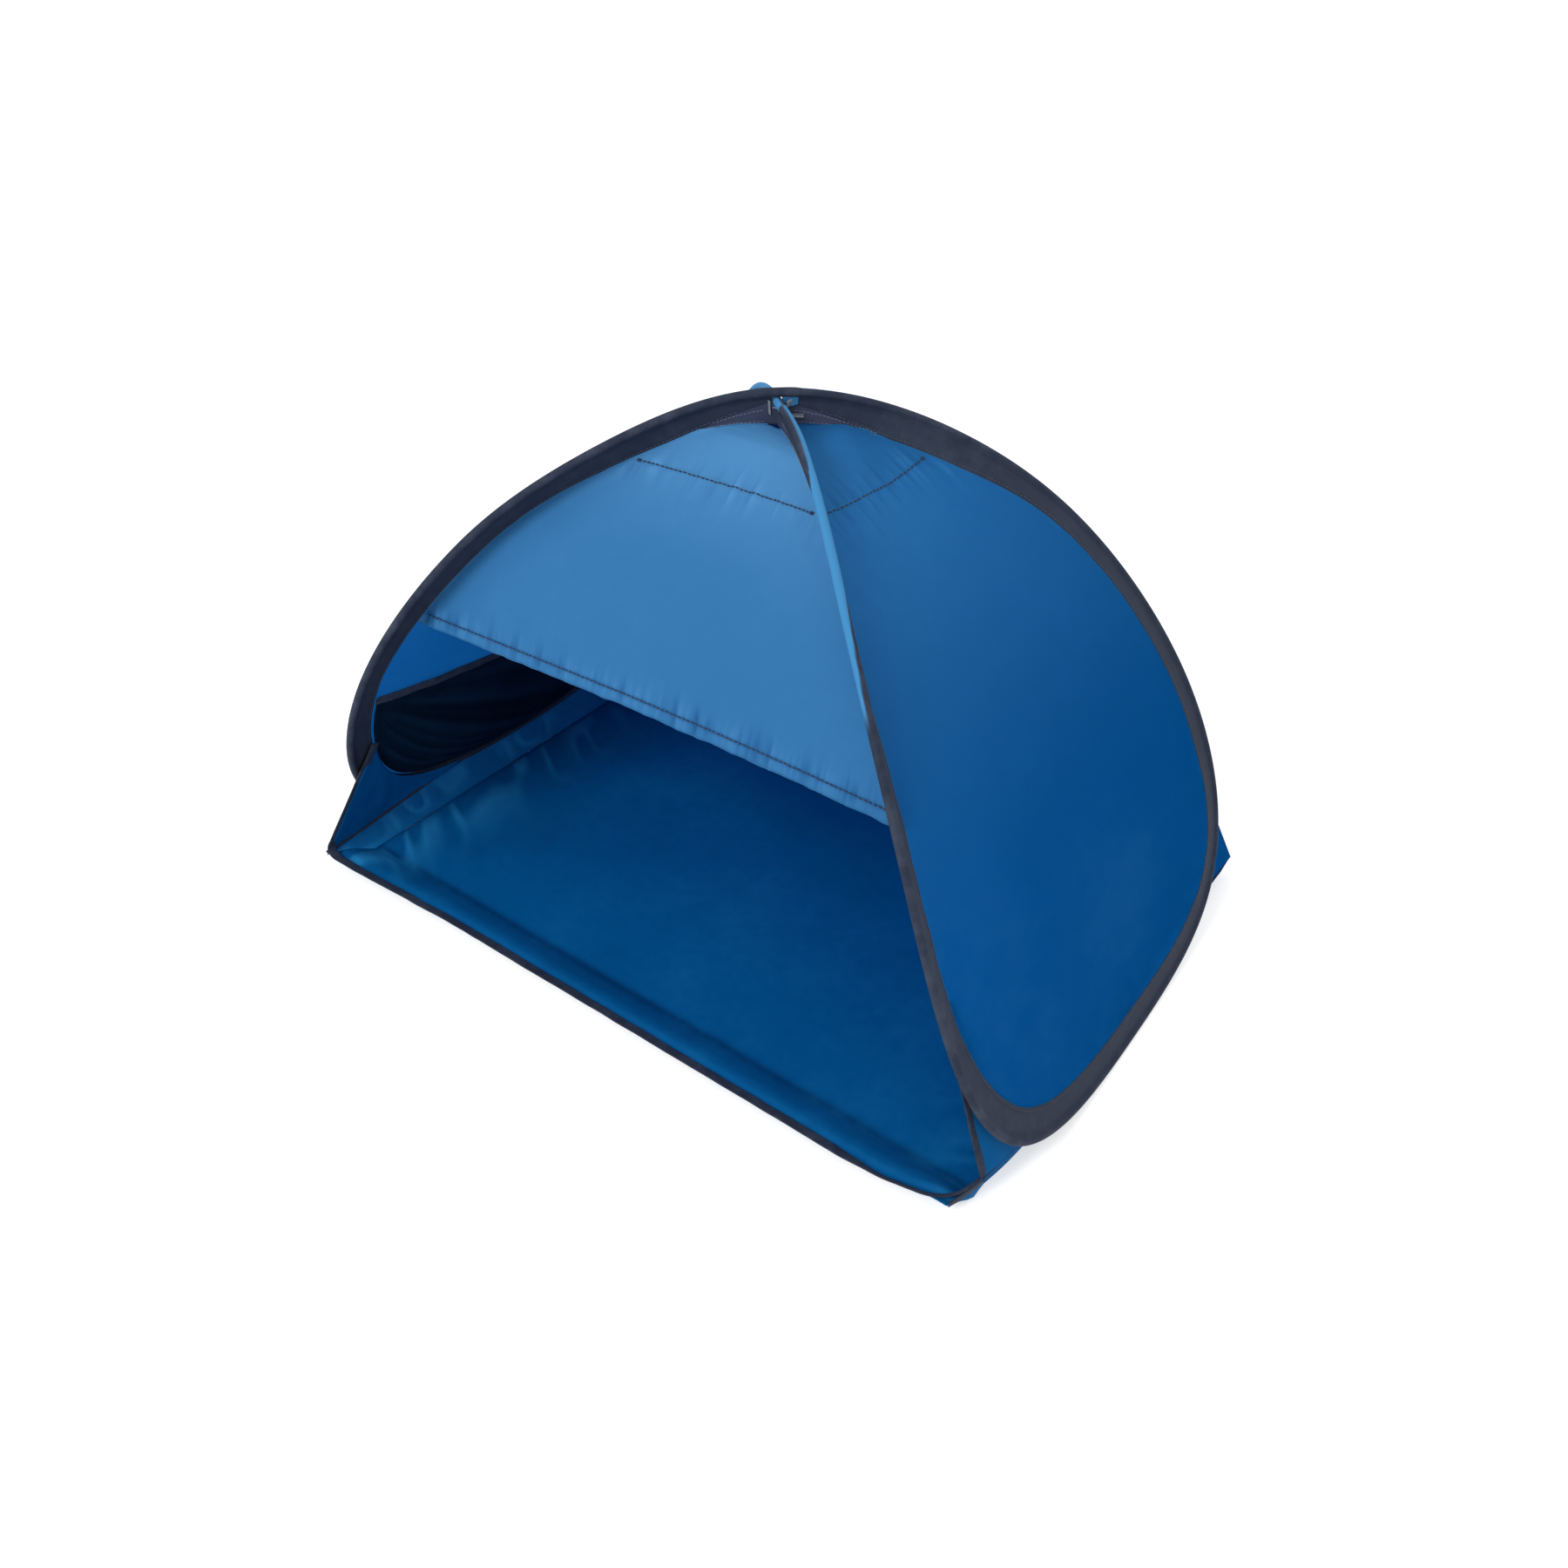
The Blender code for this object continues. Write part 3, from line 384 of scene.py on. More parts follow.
# A row of stitches: each one a short pod of thread, six-sided, pinched where it enters the cloth
def stitchPiece(name, path, normal, material, body, pitch=0.0044, length=0.0035, radius=0.00058,
                lift=0.00015, wander=0.00018, seed=3, turned=False):
    normal = unit(normal)
    run = lengthsAlong(path)
    count = int(run[-1] / pitch)
    at = (np.arange(count) + 0.5) * pitch + 0.0003 * lineNoise(np.arange(count) * 0.7, seed)
    along = np.array([-0.5, -0.42, -0.16, 0.16, 0.42, 0.5]) * length
    girth = np.array([0.25, 0.8, 1.0, 1.0, 0.8, 0.25]) * radius
    sink = np.array([-1.6, -0.3, 0.3, 0.3, -0.3, -1.6]) * radius
    places = at[:, None] + along[None]
    centre, up = tableAt(path, places, run), unit(tableAt(normal, places, run))
    ahead = unit(tableAt(path, at + length / 2, run) - tableAt(path, at - length / 2, run))[:, None]
    side = unit(np.cross(ahead, up))
    up = unit(np.cross(side, ahead))
    if turned:
        centre = tableAt(path, at, run)[:, None] + side * along[None, :, None]
        ahead, side = side, -ahead
    centre = centre + up * (lift + sink)[None, :, None]
    centre = centre + side * (wander * lineNoise(np.arange(count) * 1.3, seed + 1))[:, None, None]
    angle = np.arange(6) * math.pi / 3
    ring = side[..., None, :] * np.cos(angle)[:, None] + up[..., None, :] * np.sin(angle)[:, None]
    points = centre[..., None, :] + ring * girth[None, :, None, None]
    index = np.arange(count * 36).reshape(count, 6, 6)
    around = np.concatenate([index, index[..., :1]], 2)
    walls = np.stack([around[:, :-1, :-1], around[:, 1:, :-1], around[:, 1:, 1:], around[:, :-1, 1:]], -1)
    faces = walls.reshape(-1, 4).tolist()
    faces += index[:, 0].tolist() + index[:, -1, ::-1].tolist()
    return meshPiece(name, points, faces, material, body)


# Gives a node's inputs their values or links
def feed(tree, made, inputs):
    for key, value in inputs.items():
        if isinstance(value, bpy.types.NodeSocket):
            tree.links.new(value, made.inputs[key])
        else:
            made.inputs[key].default_value = value
    return made


def place(tree, kind, inputs=None, **settings):
    made = tree.nodes.new("ShaderNode" + kind)
    for key, value in settings.items():
        setattr(made, key, value)
    return feed(tree, made, inputs or {})


def calc(tree, operation, first, second=0.0, clamped=False):
    return place(tree, "Math", {0: first, 1: second}, operation=operation, use_clamp=clamped).outputs[0]


def blendColor(tree, share, first, second, mode="MIX"):
    made = place(tree, "Mix", data_type="RGBA", blend_type=mode)
    return feed(tree, made, {0: share, 6: first, 7: second}).outputs[2]


def objectPlace(tree):
    return place(tree, "TexCoord").outputs["Object"]


def ranged(tree, value, ends, results=(0.0, 1.0)):
    return place(tree, "MapRange", {"Value": value, "From Min": ends[0], "From Max": ends[1],
                                    "To Min": results[0], "To Max": results[1]}).outputs[0]


def newGroup(name, inputs, outputs):
    group = bpy.data.node_groups.new(name, "ShaderNodeTree")
    for label, kind, value in inputs:
        socket = group.interface.new_socket(name=label, in_out="INPUT", socket_type="NodeSocket" + kind)
        if value is not None:
            socket.default_value = value
    for label, kind in outputs:
        group.interface.new_socket(name=label, in_out="OUTPUT", socket_type="NodeSocket" + kind)
    return group, group.nodes.new("NodeGroupInput"), group.nodes.new("NodeGroupOutput")


def useGroup(tree, group, inputs):
    return place(tree, "Group", inputs, node_tree=group)


# Plain weave: over-and-under threads of the pitch given, as a height and a thread mask
def makeWeaveGroup():
    group, given, result = newGroup(
        "plainWeave",
        [("Vector", "Vector", None), ("Pitch", "Float", 0.0004), ("Slub", "Float", 0.3)],
        [("Height", "Float"), ("Thread", "Float")],
    )
    pitch = place(group, "CombineXYZ", {0: given.outputs["Pitch"], 1: given.outputs["Pitch"], 2: 1.0})
    scaled = place(group, "VectorMath", {0: given.outputs["Vector"], 1: pitch.outputs[0]}, operation="DIVIDE")
    parted = place(group, "SeparateXYZ", {0: scaled.outputs[0]})
    across = calc(group, "SINE", calc(group, "MULTIPLY", parted.outputs[0], math.pi))
    down = calc(group, "SINE", calc(group, "MULTIPLY", parted.outputs[1], math.pi))
    turn = calc(group, "MULTIPLY", across, down)
    over = calc(group, "GREATER_THAN", turn, 0.0)
    warp = calc(group, "POWER", calc(group, "ABSOLUTE", across), 0.6)
    weft = calc(group, "POWER", calc(group, "ABSOLUTE", down), 0.6)
    height = calc(group, "ADD", calc(group, "MULTIPLY", over, warp),
                  calc(group, "MULTIPLY", calc(group, "SUBTRACT", 1.0, over), weft))
    long = place(group, "VectorMath", {0: scaled.outputs[0], 1: (0.06, 1.0, 1.0)}, operation="MULTIPLY")
    slub = place(group, "TexNoise", {"Vector": long.outputs[0], "Scale": 1.0, "Detail": 1.0})
    uneven = calc(group, "MULTIPLY", calc(group, "SUBTRACT", slub.outputs["Fac"], 0.5), given.outputs["Slub"])
    feed(group, result, {"Height": calc(group, "ADD", height, uneven), "Thread": over})
    return group


# Cloth colour: soft uneven dye, darker where the cloth's painted-shade mask is set (painted shade in hollows
# and beside seams), paler where its mask of painted light and wear is set
def makeDyeGroup():
    group, given, result = newGroup(
        "clothDye",
        [("Color", "Color", None), ("Deep", "Color", None), ("Pale", "Color", None),
         ("Unevenness", "Float", 0.3), ("Painted Shade", "Float", 0.0), ("Painted Light And Wear", "Float", 0.0)],
        [("Color", "Color"), ("Rough", "Float")],
    )
    where = objectPlace(group)
    broad = place(group, "TexNoise", {"Vector": where, "Scale": 6.0, "Detail": 3.0, "Roughness": 0.55})
    fine = place(group, "TexNoise", {"Vector": where, "Scale": 90.0, "Detail": 4.0, "Roughness": 0.6})
    mottle = calc(group, "ADD", calc(group, "MULTIPLY", broad.outputs["Fac"], 0.7),
                  calc(group, "MULTIPLY", fine.outputs["Fac"], 0.3))
    darker, lighter = (ranged(group, mottle, (0.5, far)) for far in (0.36, 0.66))
    shares = []
    for patches, label in ((darker, "Painted Shade"), (lighter, "Painted Light And Wear")):
        uneven = calc(group, "MULTIPLY", patches, given.outputs["Unevenness"])
        shares.append(calc(group, "ADD", uneven, given.outputs[label], True))
    color = blendColor(group, shares[0], given.outputs["Color"], given.outputs["Deep"])
    color = blendColor(group, shares[1], color, given.outputs["Pale"])
    feed(group, result, {"Color": color, "Rough": ranged(group, mottle, (0.3, 0.7), (-0.04, 0.05))})
    return group


weaveGroup = makeWeaveGroup()
dyeGroup = makeDyeGroup()


def attributeValue(tree, name):
    return place(tree, "Attribute", attribute_name=name).outputs["Fac"]


def newMaterial(name):
    material = bpy.data.materials.new(name)
    material.use_nodes = True
    tree = material.node_tree
    return material, tree, tree.nodes["Principled BSDF"]


# What cloth and tape share: dye and weave give the threads' colour, the weave's relief lies over
# a coarser one, and the shader takes roughness, normal and sheen
def wovenColor(tree, shader, look, slub, paintedShade, paintedLightAndWear, relief, coarse=None):
    uv = place(tree, "UVMap", uv_map="UVMap").outputs[0]
    weave = useGroup(tree, weaveGroup, {"Vector": uv, "Pitch": look["pitch"], "Slub": slub})
    tones = {"Color": (*look["color"], 1), "Deep": (*look["deep"], 1), "Pale": (*look["pale"], 1)}
    dye = useGroup(tree, dyeGroup, {**tones, "Unevenness": look["uneven"], "Painted Shade": paintedShade, "Painted Light And Wear": paintedLightAndWear})
    fine = place(tree, "Bump", {"Height": weave.outputs["Height"], "Strength": look["weave"],
                                "Distance": look["pitch"] * relief, **(coarse or {})}).outputs[0]
    feed(tree, shader, {
        "Roughness": calc(tree, "ADD", dye.outputs["Rough"], look["roughness"]), "Normal": fine,
        "Specular IOR Level": look["specular"], "Sheen Weight": look["sheen"],
        "Sheen Roughness": look["sheenRough"], "Sheen Tint": tones["Pale"],
    })
    shade = calc(tree, "MULTIPLY", weave.outputs["Thread"], look["threadShade"])
    return blendColor(tree, shade, dye.outputs["Color"], tones["Deep"]), fine


# A woven cloth: dye, weave and wrinkle relief, with a share of the light passing through
def clothMaterial(name, look):
    look = {"paintedLightAndWear": 0.5, "specular": 0.03, "sheen": 0.0, "sheenRough": 0.5, **look}
    material, tree, shader = newMaterial(name)
    paintedLightAndWear = calc(tree, "MULTIPLY", attributeValue(tree, "paintedLightAndWear"), look["paintedLightAndWear"])
    paintedShade = attributeValue(tree, "paintedShade")
    wrinkle = place(tree, "TexNoise", {"Vector": objectPlace(tree), "Scale": look["wrinkleScale"],
                                       "Detail": 5.0, "Roughness": 0.5, "Distortion": 0.6})
    rough = place(tree, "Bump", {"Height": wrinkle.outputs["Fac"], "Strength": look["wrinkle"],
                                 "Distance": 0.004})
    threads, fine = wovenColor(tree, shader, look, 0.35, paintedShade, paintedLightAndWear, 0.35, {"Normal": rough.outputs[0]})
    feed(tree, shader, {"Base Color": threads})
    if look["through"]:
        dimmed = blendColor(tree, 0.15, (1, 1, 1, 1), threads)
        glow = blendColor(tree, 1.0, dimmed, (*look["glow"], 1), "MULTIPLY")
        behind = place(tree, "BsdfTranslucent", {"Color": glow, "Normal": fine})
        both = place(tree, "MixShader", {0: look["through"], 1: shader.outputs[0], 2: behind.outputs[0]})
        feed(tree, tree.nodes["Material Output"], {"Surface": both.outputs[0]})
    return material


# Colours are linear; "through" is the share of light that passes the cloth
# The canopy is cut from the side panels' fabric: its paler colour is painted light, for the light falling on
# its front
canopyLook = {
    "color": (0.042, 0.218, 0.480), "deep": (0.020, 0.130, 0.340), "pale": (0.105, 0.355, 0.680),
    "uneven": 0.12, "pitch": 0.00034, "threadShade": 0.10, "roughness": 0.50,
    "wrinkleScale": 26.0, "wrinkle": 0.10, "weave": 0.25, "through": 0.25, "paintedLightAndWear": 0.9,
    "glow": (0.080, 0.400, 0.900), "specular": 0.10,
}
sideLook = {
    "color": (0.0030, 0.120, 0.355), "deep": (0.0012, 0.060, 0.200), "pale": (0.044, 0.245, 0.520),
    "uneven": 0.16, "pitch": 0.00034, "threadShade": 0.10, "roughness": 0.48,
    "wrinkleScale": 22.0, "wrinkle": 0.10, "weave": 0.25, "through": 0.42, "paintedLightAndWear": 0.9,
    "glow": (0.130, 0.560, 0.980), "specular": 0.0,
}
floorLook = {
    "color": (0.0010, 0.100, 0.300), "deep": (0.0005, 0.036, 0.128), "pale": (0.016, 0.205, 0.470),
    "uneven": 0.20, "pitch": 0.00040, "threadShade": 0.12, "roughness": 0.44,
    "wrinkleScale": 20.0, "wrinkle": 0.12, "weave": 0.30, "through": 0.0, "paintedLightAndWear": 0.8,
    "specular": 0.03,
}
pocketLook = {
    "color": (0.0020, 0.0085, 0.021), "deep": (0.0010, 0.004, 0.011), "pale": (0.006, 0.030, 0.070),
    "uneven": 0.3, "pitch": 0.00050, "threadShade": 0.25, "roughness": 0.62,
    "wrinkleScale": 30.0, "wrinkle": 0.12, "weave": 0.4, "through": 0.0, "paintedLightAndWear": 1.0,
}
webLook = {
    "color": (0.055, 0.066, 0.115), "deep": (0.022, 0.030, 0.062), "pale": (0.110, 0.130, 0.200),
    "uneven": 0.3, "pitch": 0.00050, "threadShade": 0.2, "roughness": 0.7,
    "wrinkleScale": 60.0, "wrinkle": 0.15, "weave": 0.4, "through": 0.0,
}
canopyCloth = clothMaterial("canopyCloth", canopyLook)
sideCloth = clothMaterial("sideCloth", sideLook)
floorCloth = clothMaterial("floorCloth", floorLook)
pocketCloth = clothMaterial("pocketCloth", pocketLook)
webCloth = clothMaterial("webCloth", webLook)


# Woven edge tape: ribbed along its length, paler slate in patches on its folds, painted highlight together
# with wear, and light blue where masked, a painted highlight
def tapeMaterial(name, look):
    material, tree, shader = newMaterial(name)
    rub = place(tree, "TexNoise", {"Vector": objectPlace(tree), "Scale": 45.0, "Detail": 5.0,
                                   "Roughness": 0.65})
    spots = ranged(tree, rub.outputs["Fac"], (0.42, 0.68))
    paintedLightAndWear = calc(tree, "MULTIPLY", calc(tree, "MULTIPLY", attributeValue(tree, "paintedLightAndWear"), spots), look["paintedLightAndWear"])
    threads = wovenColor(tree, shader, look, 0.6, attributeValue(tree, "paintedShade"), paintedLightAndWear, 0.4)[0]
    blue = blendColor(tree, attributeValue(tree, "blue"), threads, (*look["blue"], 1))
    feed(tree, shader, {"Base Color": blue})
    return material


tapeLook = {
    "color": (0.026, 0.036, 0.064), "deep": (0.014, 0.020, 0.038), "pale": (0.080, 0.098, 0.140),
    "blue": (0.056, 0.262, 0.545), "uneven": 0.3, "paintedLightAndWear": 0.5, "pitch": 0.0006,
    "threadShade": 0.3, "roughness": 0.62, "weave": 0.5, "sheen": 0.12, "sheenRough": 0.45,
    "specular": 0.10,
}
edgeTape = tapeMaterial("edgeTape", tapeLook)


def plainMaterial(name, look):
    material, tree, shader = newMaterial(name)
    grain = place(tree, "TexNoise", {"Vector": objectPlace(tree), "Scale": look["scale"], "Detail": 6.0,
                                     "Roughness": 0.6}).outputs["Fac"]
    share = ranged(tree, grain, (0.35, 0.65))
    bump = place(tree, "Bump", {"Height": grain, "Strength": look["bump"], "Distance": look["depth"]})
    feed(tree, shader, {
        "Base Color": blendColor(tree, share, (*look["deep"], 1), (*look["color"], 1)),
        "Roughness": ranged(tree, grain, (0, 1), (look["roughness"] - 0.1, look["roughness"] + 0.1)),
        "Normal": bump.outputs[0], "Metallic": look.get("metallic", 0.0),
    })
    return material


threadFinish = {"scale": 2500.0, "roughness": 0.6, "bump": 0.4, "depth": 0.0001}
navyThread, slateThread, paleThread = (
    plainMaterial(name, {**threadFinish, "color": color, "deep": deep})
    for name, color, deep in (
        ("navyThread", (0.012, 0.030, 0.085), (0.004, 0.010, 0.035)),
        ("slateThread", (0.100, 0.110, 0.150), (0.035, 0.042, 0.070)),
        ("paleThread", (0.200, 0.215, 0.290), (0.090, 0.100, 0.150)),
    )
)
paleRibbon = plainMaterial("paleRibbon", {
    "color": (0.26, 0.29, 0.33), "deep": (0.10, 0.12, 0.16), "scale": 700.0, "roughness": 0.45,
    "bump": 0.3, "depth": 0.0002,
})
springSteel = plainMaterial("springSteel", {
    "color": (0.56, 0.57, 0.59), "deep": (0.40, 0.41, 0.43), "scale": 900.0, "roughness": 0.32,
    "bump": 0.15, "depth": 0.0001, "metallic": 1.0,
})
print("materials made")

for nodeName in ("right_side_wire", "left_side_wire", "wire_ferrule"):
    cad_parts[nodeName].data.materials.clear()
    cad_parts[nodeName].data.materials.append(springSteel)

# Edge tapes: a bead round the wire and two flat plies, carried round each side. A ply is given by half
# thicknesses at shares of its width; a painted light-blue highlight lies along the bead as far as blueEnd
tape = {
    "neck": 0.0046, "start": 0.0045, "step": 0.0035, "uneven": 0.0003,
    "roundStart": 0.095, "roundEnd": 0.185, "blueEnd": 0.275, "highEnd": 0.05,
    "shares": (0.0, 0.12, 0.3, 0.5, 0.7, 0.84, 0.90, 0.96, 1.0),
    "halves": (0.00125, 0.00095, 0.0009, 0.0009, 0.0009, 0.00078, 0.00095, 0.0009, 0.00045),
    "stitched": 5, "stitchStart": 0.03,
}
tapeStitch = {"pitch": 0.0034, "length": 0.0025, "radius": 0.00022}


# Wire, tape and outward directions round a side, down its front rib and up its back one
def sideLoop(side, start, size):
    down = np.concatenate([steps(start, 0.09, size * 0.7), steps(0.09, ribLength, size)[1:]])
    up = down[-2::-1]
    frames = zip(ribFrame(side + "Front", down), ribFrame(side + "Back", up))
    wire, fin, out = [np.vstack(pair) for pair in frames]
    s, run = np.concatenate([down, up]), np.concatenate([down, 2 * ribLength - up])
    return wire, fin, out, s, run, np.arange(len(s)) < len(down)


# Rings: wire + depth * fin + height * out, where the outline goes round the bead and out along
# both plies; the plies ripple a little towards their inner edge
def makeTape(side, seed):
    wire, fin, out, s, run, isFront = sideLoop(side, tape["start"], tape["step"])
    width = tapeWidthAt(s) + tape["uneven"] * lineNoise(run / 0.06, seed) * eased((s - 0.02) / 0.05)
    ripple = np.where(isFront, tapeRipple(side + "Front", s), tapeRipple(side + "Back", s))
    depths = [tape["neck"] + (width - tape["neck"]) * share for share in tape["shares"]]
    plies = list(zip(depths, tape["halves"], tape["shares"]))
    beadAngle = np.radians(np.linspace(28, 332, 17))
    rings, paintedLightAndWear, paintedShade = [], [], []

    def addLine(depth, height, paleShare, paintedShadeShare):
        rings.append(wire + fin * depth[:, None] + out * height[:, None])
        paintedLightAndWear.append(paleShare + 0 * depth)
        paintedShade.append(paintedShadeShare + 0 * depth)

    # painted shade on a ply's line at the neck and on its stitched line
    def addPly(lines, face):
        for depth, half, share in lines:
            addLine(depth, face * half + ripple * share**2, 0.5 * (share > 0.97) + 0.2,
                    0.5 * (share in (tape["shares"][0], tape["shares"][tape["stitched"]])))

    addPly(plies[::-1], 1)
    # the bead is paler on its outer round, painted highlight together with wear
    for angle in beadAngle:
        addLine(np.cos(angle) * tent["bead"] + 0 * width, np.sin(angle) * tent["bead"] + 0 * width,
                0.9 - 0.5 * (np.cos(angle) > 0.3), 0)
    addPly(plies, -1)
    # the blue mask is a painted light-blue highlight along the low rib's bead, from the crown to blueEnd
    onLow = isFront if ribKinds[side + "Front"]["low"] else ~isFront
    beadHighlight = (onLow * (1 - eased((s - tape["blueEnd"]) / 0.02)))[:, None]
    if side == "right":
        # on the low front rib the painted highlight lies on the bead's outer half first, then all round, then
        # on the canopy's side; a thin painted glint runs along the top of the high arch
        places = [tape["roundStart"], tape["roundStart"] + 0.03, tape["roundEnd"], tape["blueEnd"]]
        turned = np.interp(s, places, [0.15, 1.3, 1.3, -0.1])[:, None]
        facingOut = np.where(s < tape["roundEnd"] - 0.02, 1, -1)[:, None] * np.sin(beadAngle)
        topGlint = eased((-np.cos(beadAngle) - 0.35) / 0.2) * eased((0.17 - np.sin(beadAngle)) / 0.2)
        high = (~onLow * (1 - eased((s - tape["highEnd"]) / 0.03)))[:, None] * topGlint
        beadHighlight = np.maximum(beadHighlight * eased((facingOut + turned) / 0.25), high)
    blue = np.zeros((len(s), len(rings)))
    blue[:, len(plies):len(plies) + len(beadAngle)] = beadHighlight
    masks = {"paintedLightAndWear": np.stack(paintedLightAndWear, 1), "paintedShade": np.stack(paintedShade, 1), "blue": blue}
    piece = sweptPiece(side + "EdgeTape", np.stack(rings, 1), edgeTape, side + "_side", masks, run)
    settle(piece, side + "_side_tape")
    depth, half, share = plies[tape["stitched"]]
    full = s > tape["stitchStart"]
    for face, sign in (("Outer", 1), ("Inner", -1)):
        path = wire + fin * (depth + 0.0004)[:, None]
        path = path + out * (sign * 0.00088 + ripple * share**2)[:, None]
        thread = stitchPiece(side + "TapeStitches" + face, path[full], (out * sign)[full], slateThread,
                             side + "_side", seed=seed + 9, **tapeStitch)


makeTape("right", 11)
makeTape("left", 23)
print("tapes made")

# Side panels: straight from rib to rib, drawn in a little between. Puckers beside the stitched arc
# and the tape; a ridge and a valley run down from the crown beside the front rib
panel = {
    "top": 0.0075, "sag": 0.010, "sagTop": 0.030, "tuck": 0.006, "arc": 0.120, "arcSag": 0.006,
    "paleEnd": 0.50,
    "arcPitch": 0.0062, "arcPucker": 0.0022, "arcReach": 0.020,
    "edgePitch": 0.016, "edgePucker": 0.0009, "edgeReach": 0.020, "broad": 0.0016,
    "ridge": 0.0034, "ridgePlace": (0.052, 0.020), "valley": 0.0006, "valleyPlace": (0.018, 0.016),
}
tackStitch = {"pitch": 0.0007, "length": 0.0026, "radius": 0.00032, "lift": 0.0006, "wander": 0.0,
              "turned": True}
# how strongly the gathers beside a seam get painted shade in their valleys and painted highlight on their
# ridges, and the half width of the painted shade along a stitched line's groove
gatherShade, grooveWidth = 1.3, 0.0022


def sideInward(side):
    return unit(np.array([-tent["height"] if side == "right" else tent["height"], 0.0, -tent["width"] / 2]))


def sideRows(side, s, v, offset):
    mix = v[None, :, None]
    front, back = seamLine(side + "Front", s, offset), seamLine(side + "Back", s, offset)
    rows = front[:, None] * (1 - mix) / 2 + back[:, None] * (1 + mix) / 2
    share = np.clip((s - panel["sagTop"]) / (ribLength - panel["sagTop"]), 0, 1)
    pull = panel["sag"] * np.sin(math.pi * share)[:, None, None] * (1 - mix**2)
    return rows + pull * sideInward(side)


def tucked(rows, firstLine, lastLine):
    return np.concatenate([firstLine[:, None], rows, lastLine[:, None]], 1)


# A bar tack at the end of a row of stitches: close stitches laid across its first half centimetre
def barTack(name, path, normal, body, across=None):
    keep = lengthsAlong(path) < 0.0045
    thread = stitchPiece(name, path[keep], normal[keep], navyThread, body, **tackStitch)
    settle(thread, across=across)


def makeSidePanel(side, seed):
    body = side + "_side"
    s = np.concatenate([steps(panel["top"], 0.175, 0.0022), steps(0.175, ribLength - 0.0006, 0.0042)[1:]])
    v = np.sin(steps(-math.pi / 2, math.pi / 2, math.pi / 190))
    v = 0.5 * v + 0.5 * np.linspace(-1, 1, len(v))
    rows = sideRows(side, s, v, 0.0004)
    over, down = gridRuns(rows)
    toEdge, toFront = edgeDistance(over), over - over[:, :1]
    arcLine = panel["arc"] + panel["arcSag"] * (1 - v**2)
    away = (s[:, None] - arcLine[None]) * 0.9
    inArc = eased((1 - np.abs(v)[None]) / 0.1)
    sign = outwardSign(rows)
    gathers = puckers(over, away, seed, panel["arcPitch"], panel["arcPucker"], panel["arcReach"]) * inArc
    height = gathers + eased(toEdge / 0.004) * puckers(
        s[:, None] + 5 * (v[None] > 0), toEdge, seed + 5, panel["edgePitch"], panel["edgePucker"],
        panel["edgeReach"])
    height += panel["broad"] * gridNoise(over, down, 0.11, 0.16, seed + 8) * eased(toEdge / 0.05)
    crownPart = (eased((s - 0.02) / 0.05) * eased((0.20 - s) / 0.10))[:, None]
    height += crownPart * (panel["ridge"] * bell(toFront, *panel["ridgePlace"])
                           - panel["valley"] * bell(toFront, *panel["valleyPlace"]))
    rows = tucked(pushed(rows, height * sign), *(
        seamLine(side + end, s, 0.0003, tuckAt(s, panel["tuck"])) for end in ("Front", "Back")))
    # painted shade: along the stitched arc's groove, in the gathers' valleys, along the valley beside the
    # front rib, and on the edge columns under the tapes
    paintedShade = bell(away, 0, grooveWidth) * 0.9 * inArc
    paintedShade = paintedShade + gatherShade * np.clip(-gathers / panel["arcPucker"], 0, 1)
    paintedShade = paintedShade + 0.5 * crownPart * bell(toFront, 0.022, 0.018)
    paintedShade = np.concatenate([paintedShade[:, :1] + 0.3, paintedShade, paintedShade[:, :1] + 0.3], 1)
    # painted light: paler towards the crown and the front rib, where the panel is lit most, and painted
    # highlight on the gathers' ridges
    pale = eased((panel["paleEnd"] - s[:, None]) / 0.42) * (0.95 - 0.25 * v[None])
    pale = pale + gatherShade * np.clip(gathers / panel["arcPucker"], 0, 1)
    pale = np.concatenate([pale[:, :1], pale, pale[:, -1:]], 1)
    piece = gridPiece(side + "SidePanel", rows, sideCloth, body, masks={"paintedShade": paintedShade, "paintedLightAndWear": pale})
    settle(piece, side + "_side_panel")
    cutCloth(piece, rows)
    inside = np.abs(v) < 0.93
    line = acrossGrid(rows[:, 1:-1], s, arcLine, np.flatnonzero(inside))
    normals = gridNormal(rows)[np.searchsorted(s, panel["arc"])][1:-1][inside] * sign
    thread = stitchPiece(side + "CrownStitches", line, normals, navyThread, body, lift=0.0005, seed=seed)
    for end, order in (("Front", 1), ("Back", -1)):
        barTack(side + end + "Tack", line[::order][:14], normals[::order][:14], body)


makeSidePanel("right", 31)
makeSidePanel("left", 47)
print("side panels made")

# Front canopy: between the two front ribs, its outer ply turned under at the hem
canopy = {
    "top": 0.0075, "sag": 0.008, "bow": 0.012, "stitch": 0.3495, "tuck": 0.006, "across": (0.10, 0.3),
    "arcPucker": 0.0022, "arcSag": 0.002, "hemPitch": 0.0050, "hemPucker": 0.0018, "hemReach": 0.013,
    "edgePitch": 0.014, "edgePucker": 0.0005, "edgeReach": 0.018, "broad": 0.0014,
    "start": 0.0065, "sagEnd": 0.349, "scallop": 0.0008, "hemPly": 0.0014, "stitchPitch": 0.0040,
}


def crossInward(back):
    return unit(np.array([0.0, -tent["height"] if back else tent["height"], -tent["ribSpread"]]))


# The left and the right rib's seam, at the front or the back
def crossSeams(s, back, offset, tuck=0.0):
    return [seamLine(side + ("Back" if back else "Front"), s, offset, tuck) for side in ("left", "right")]


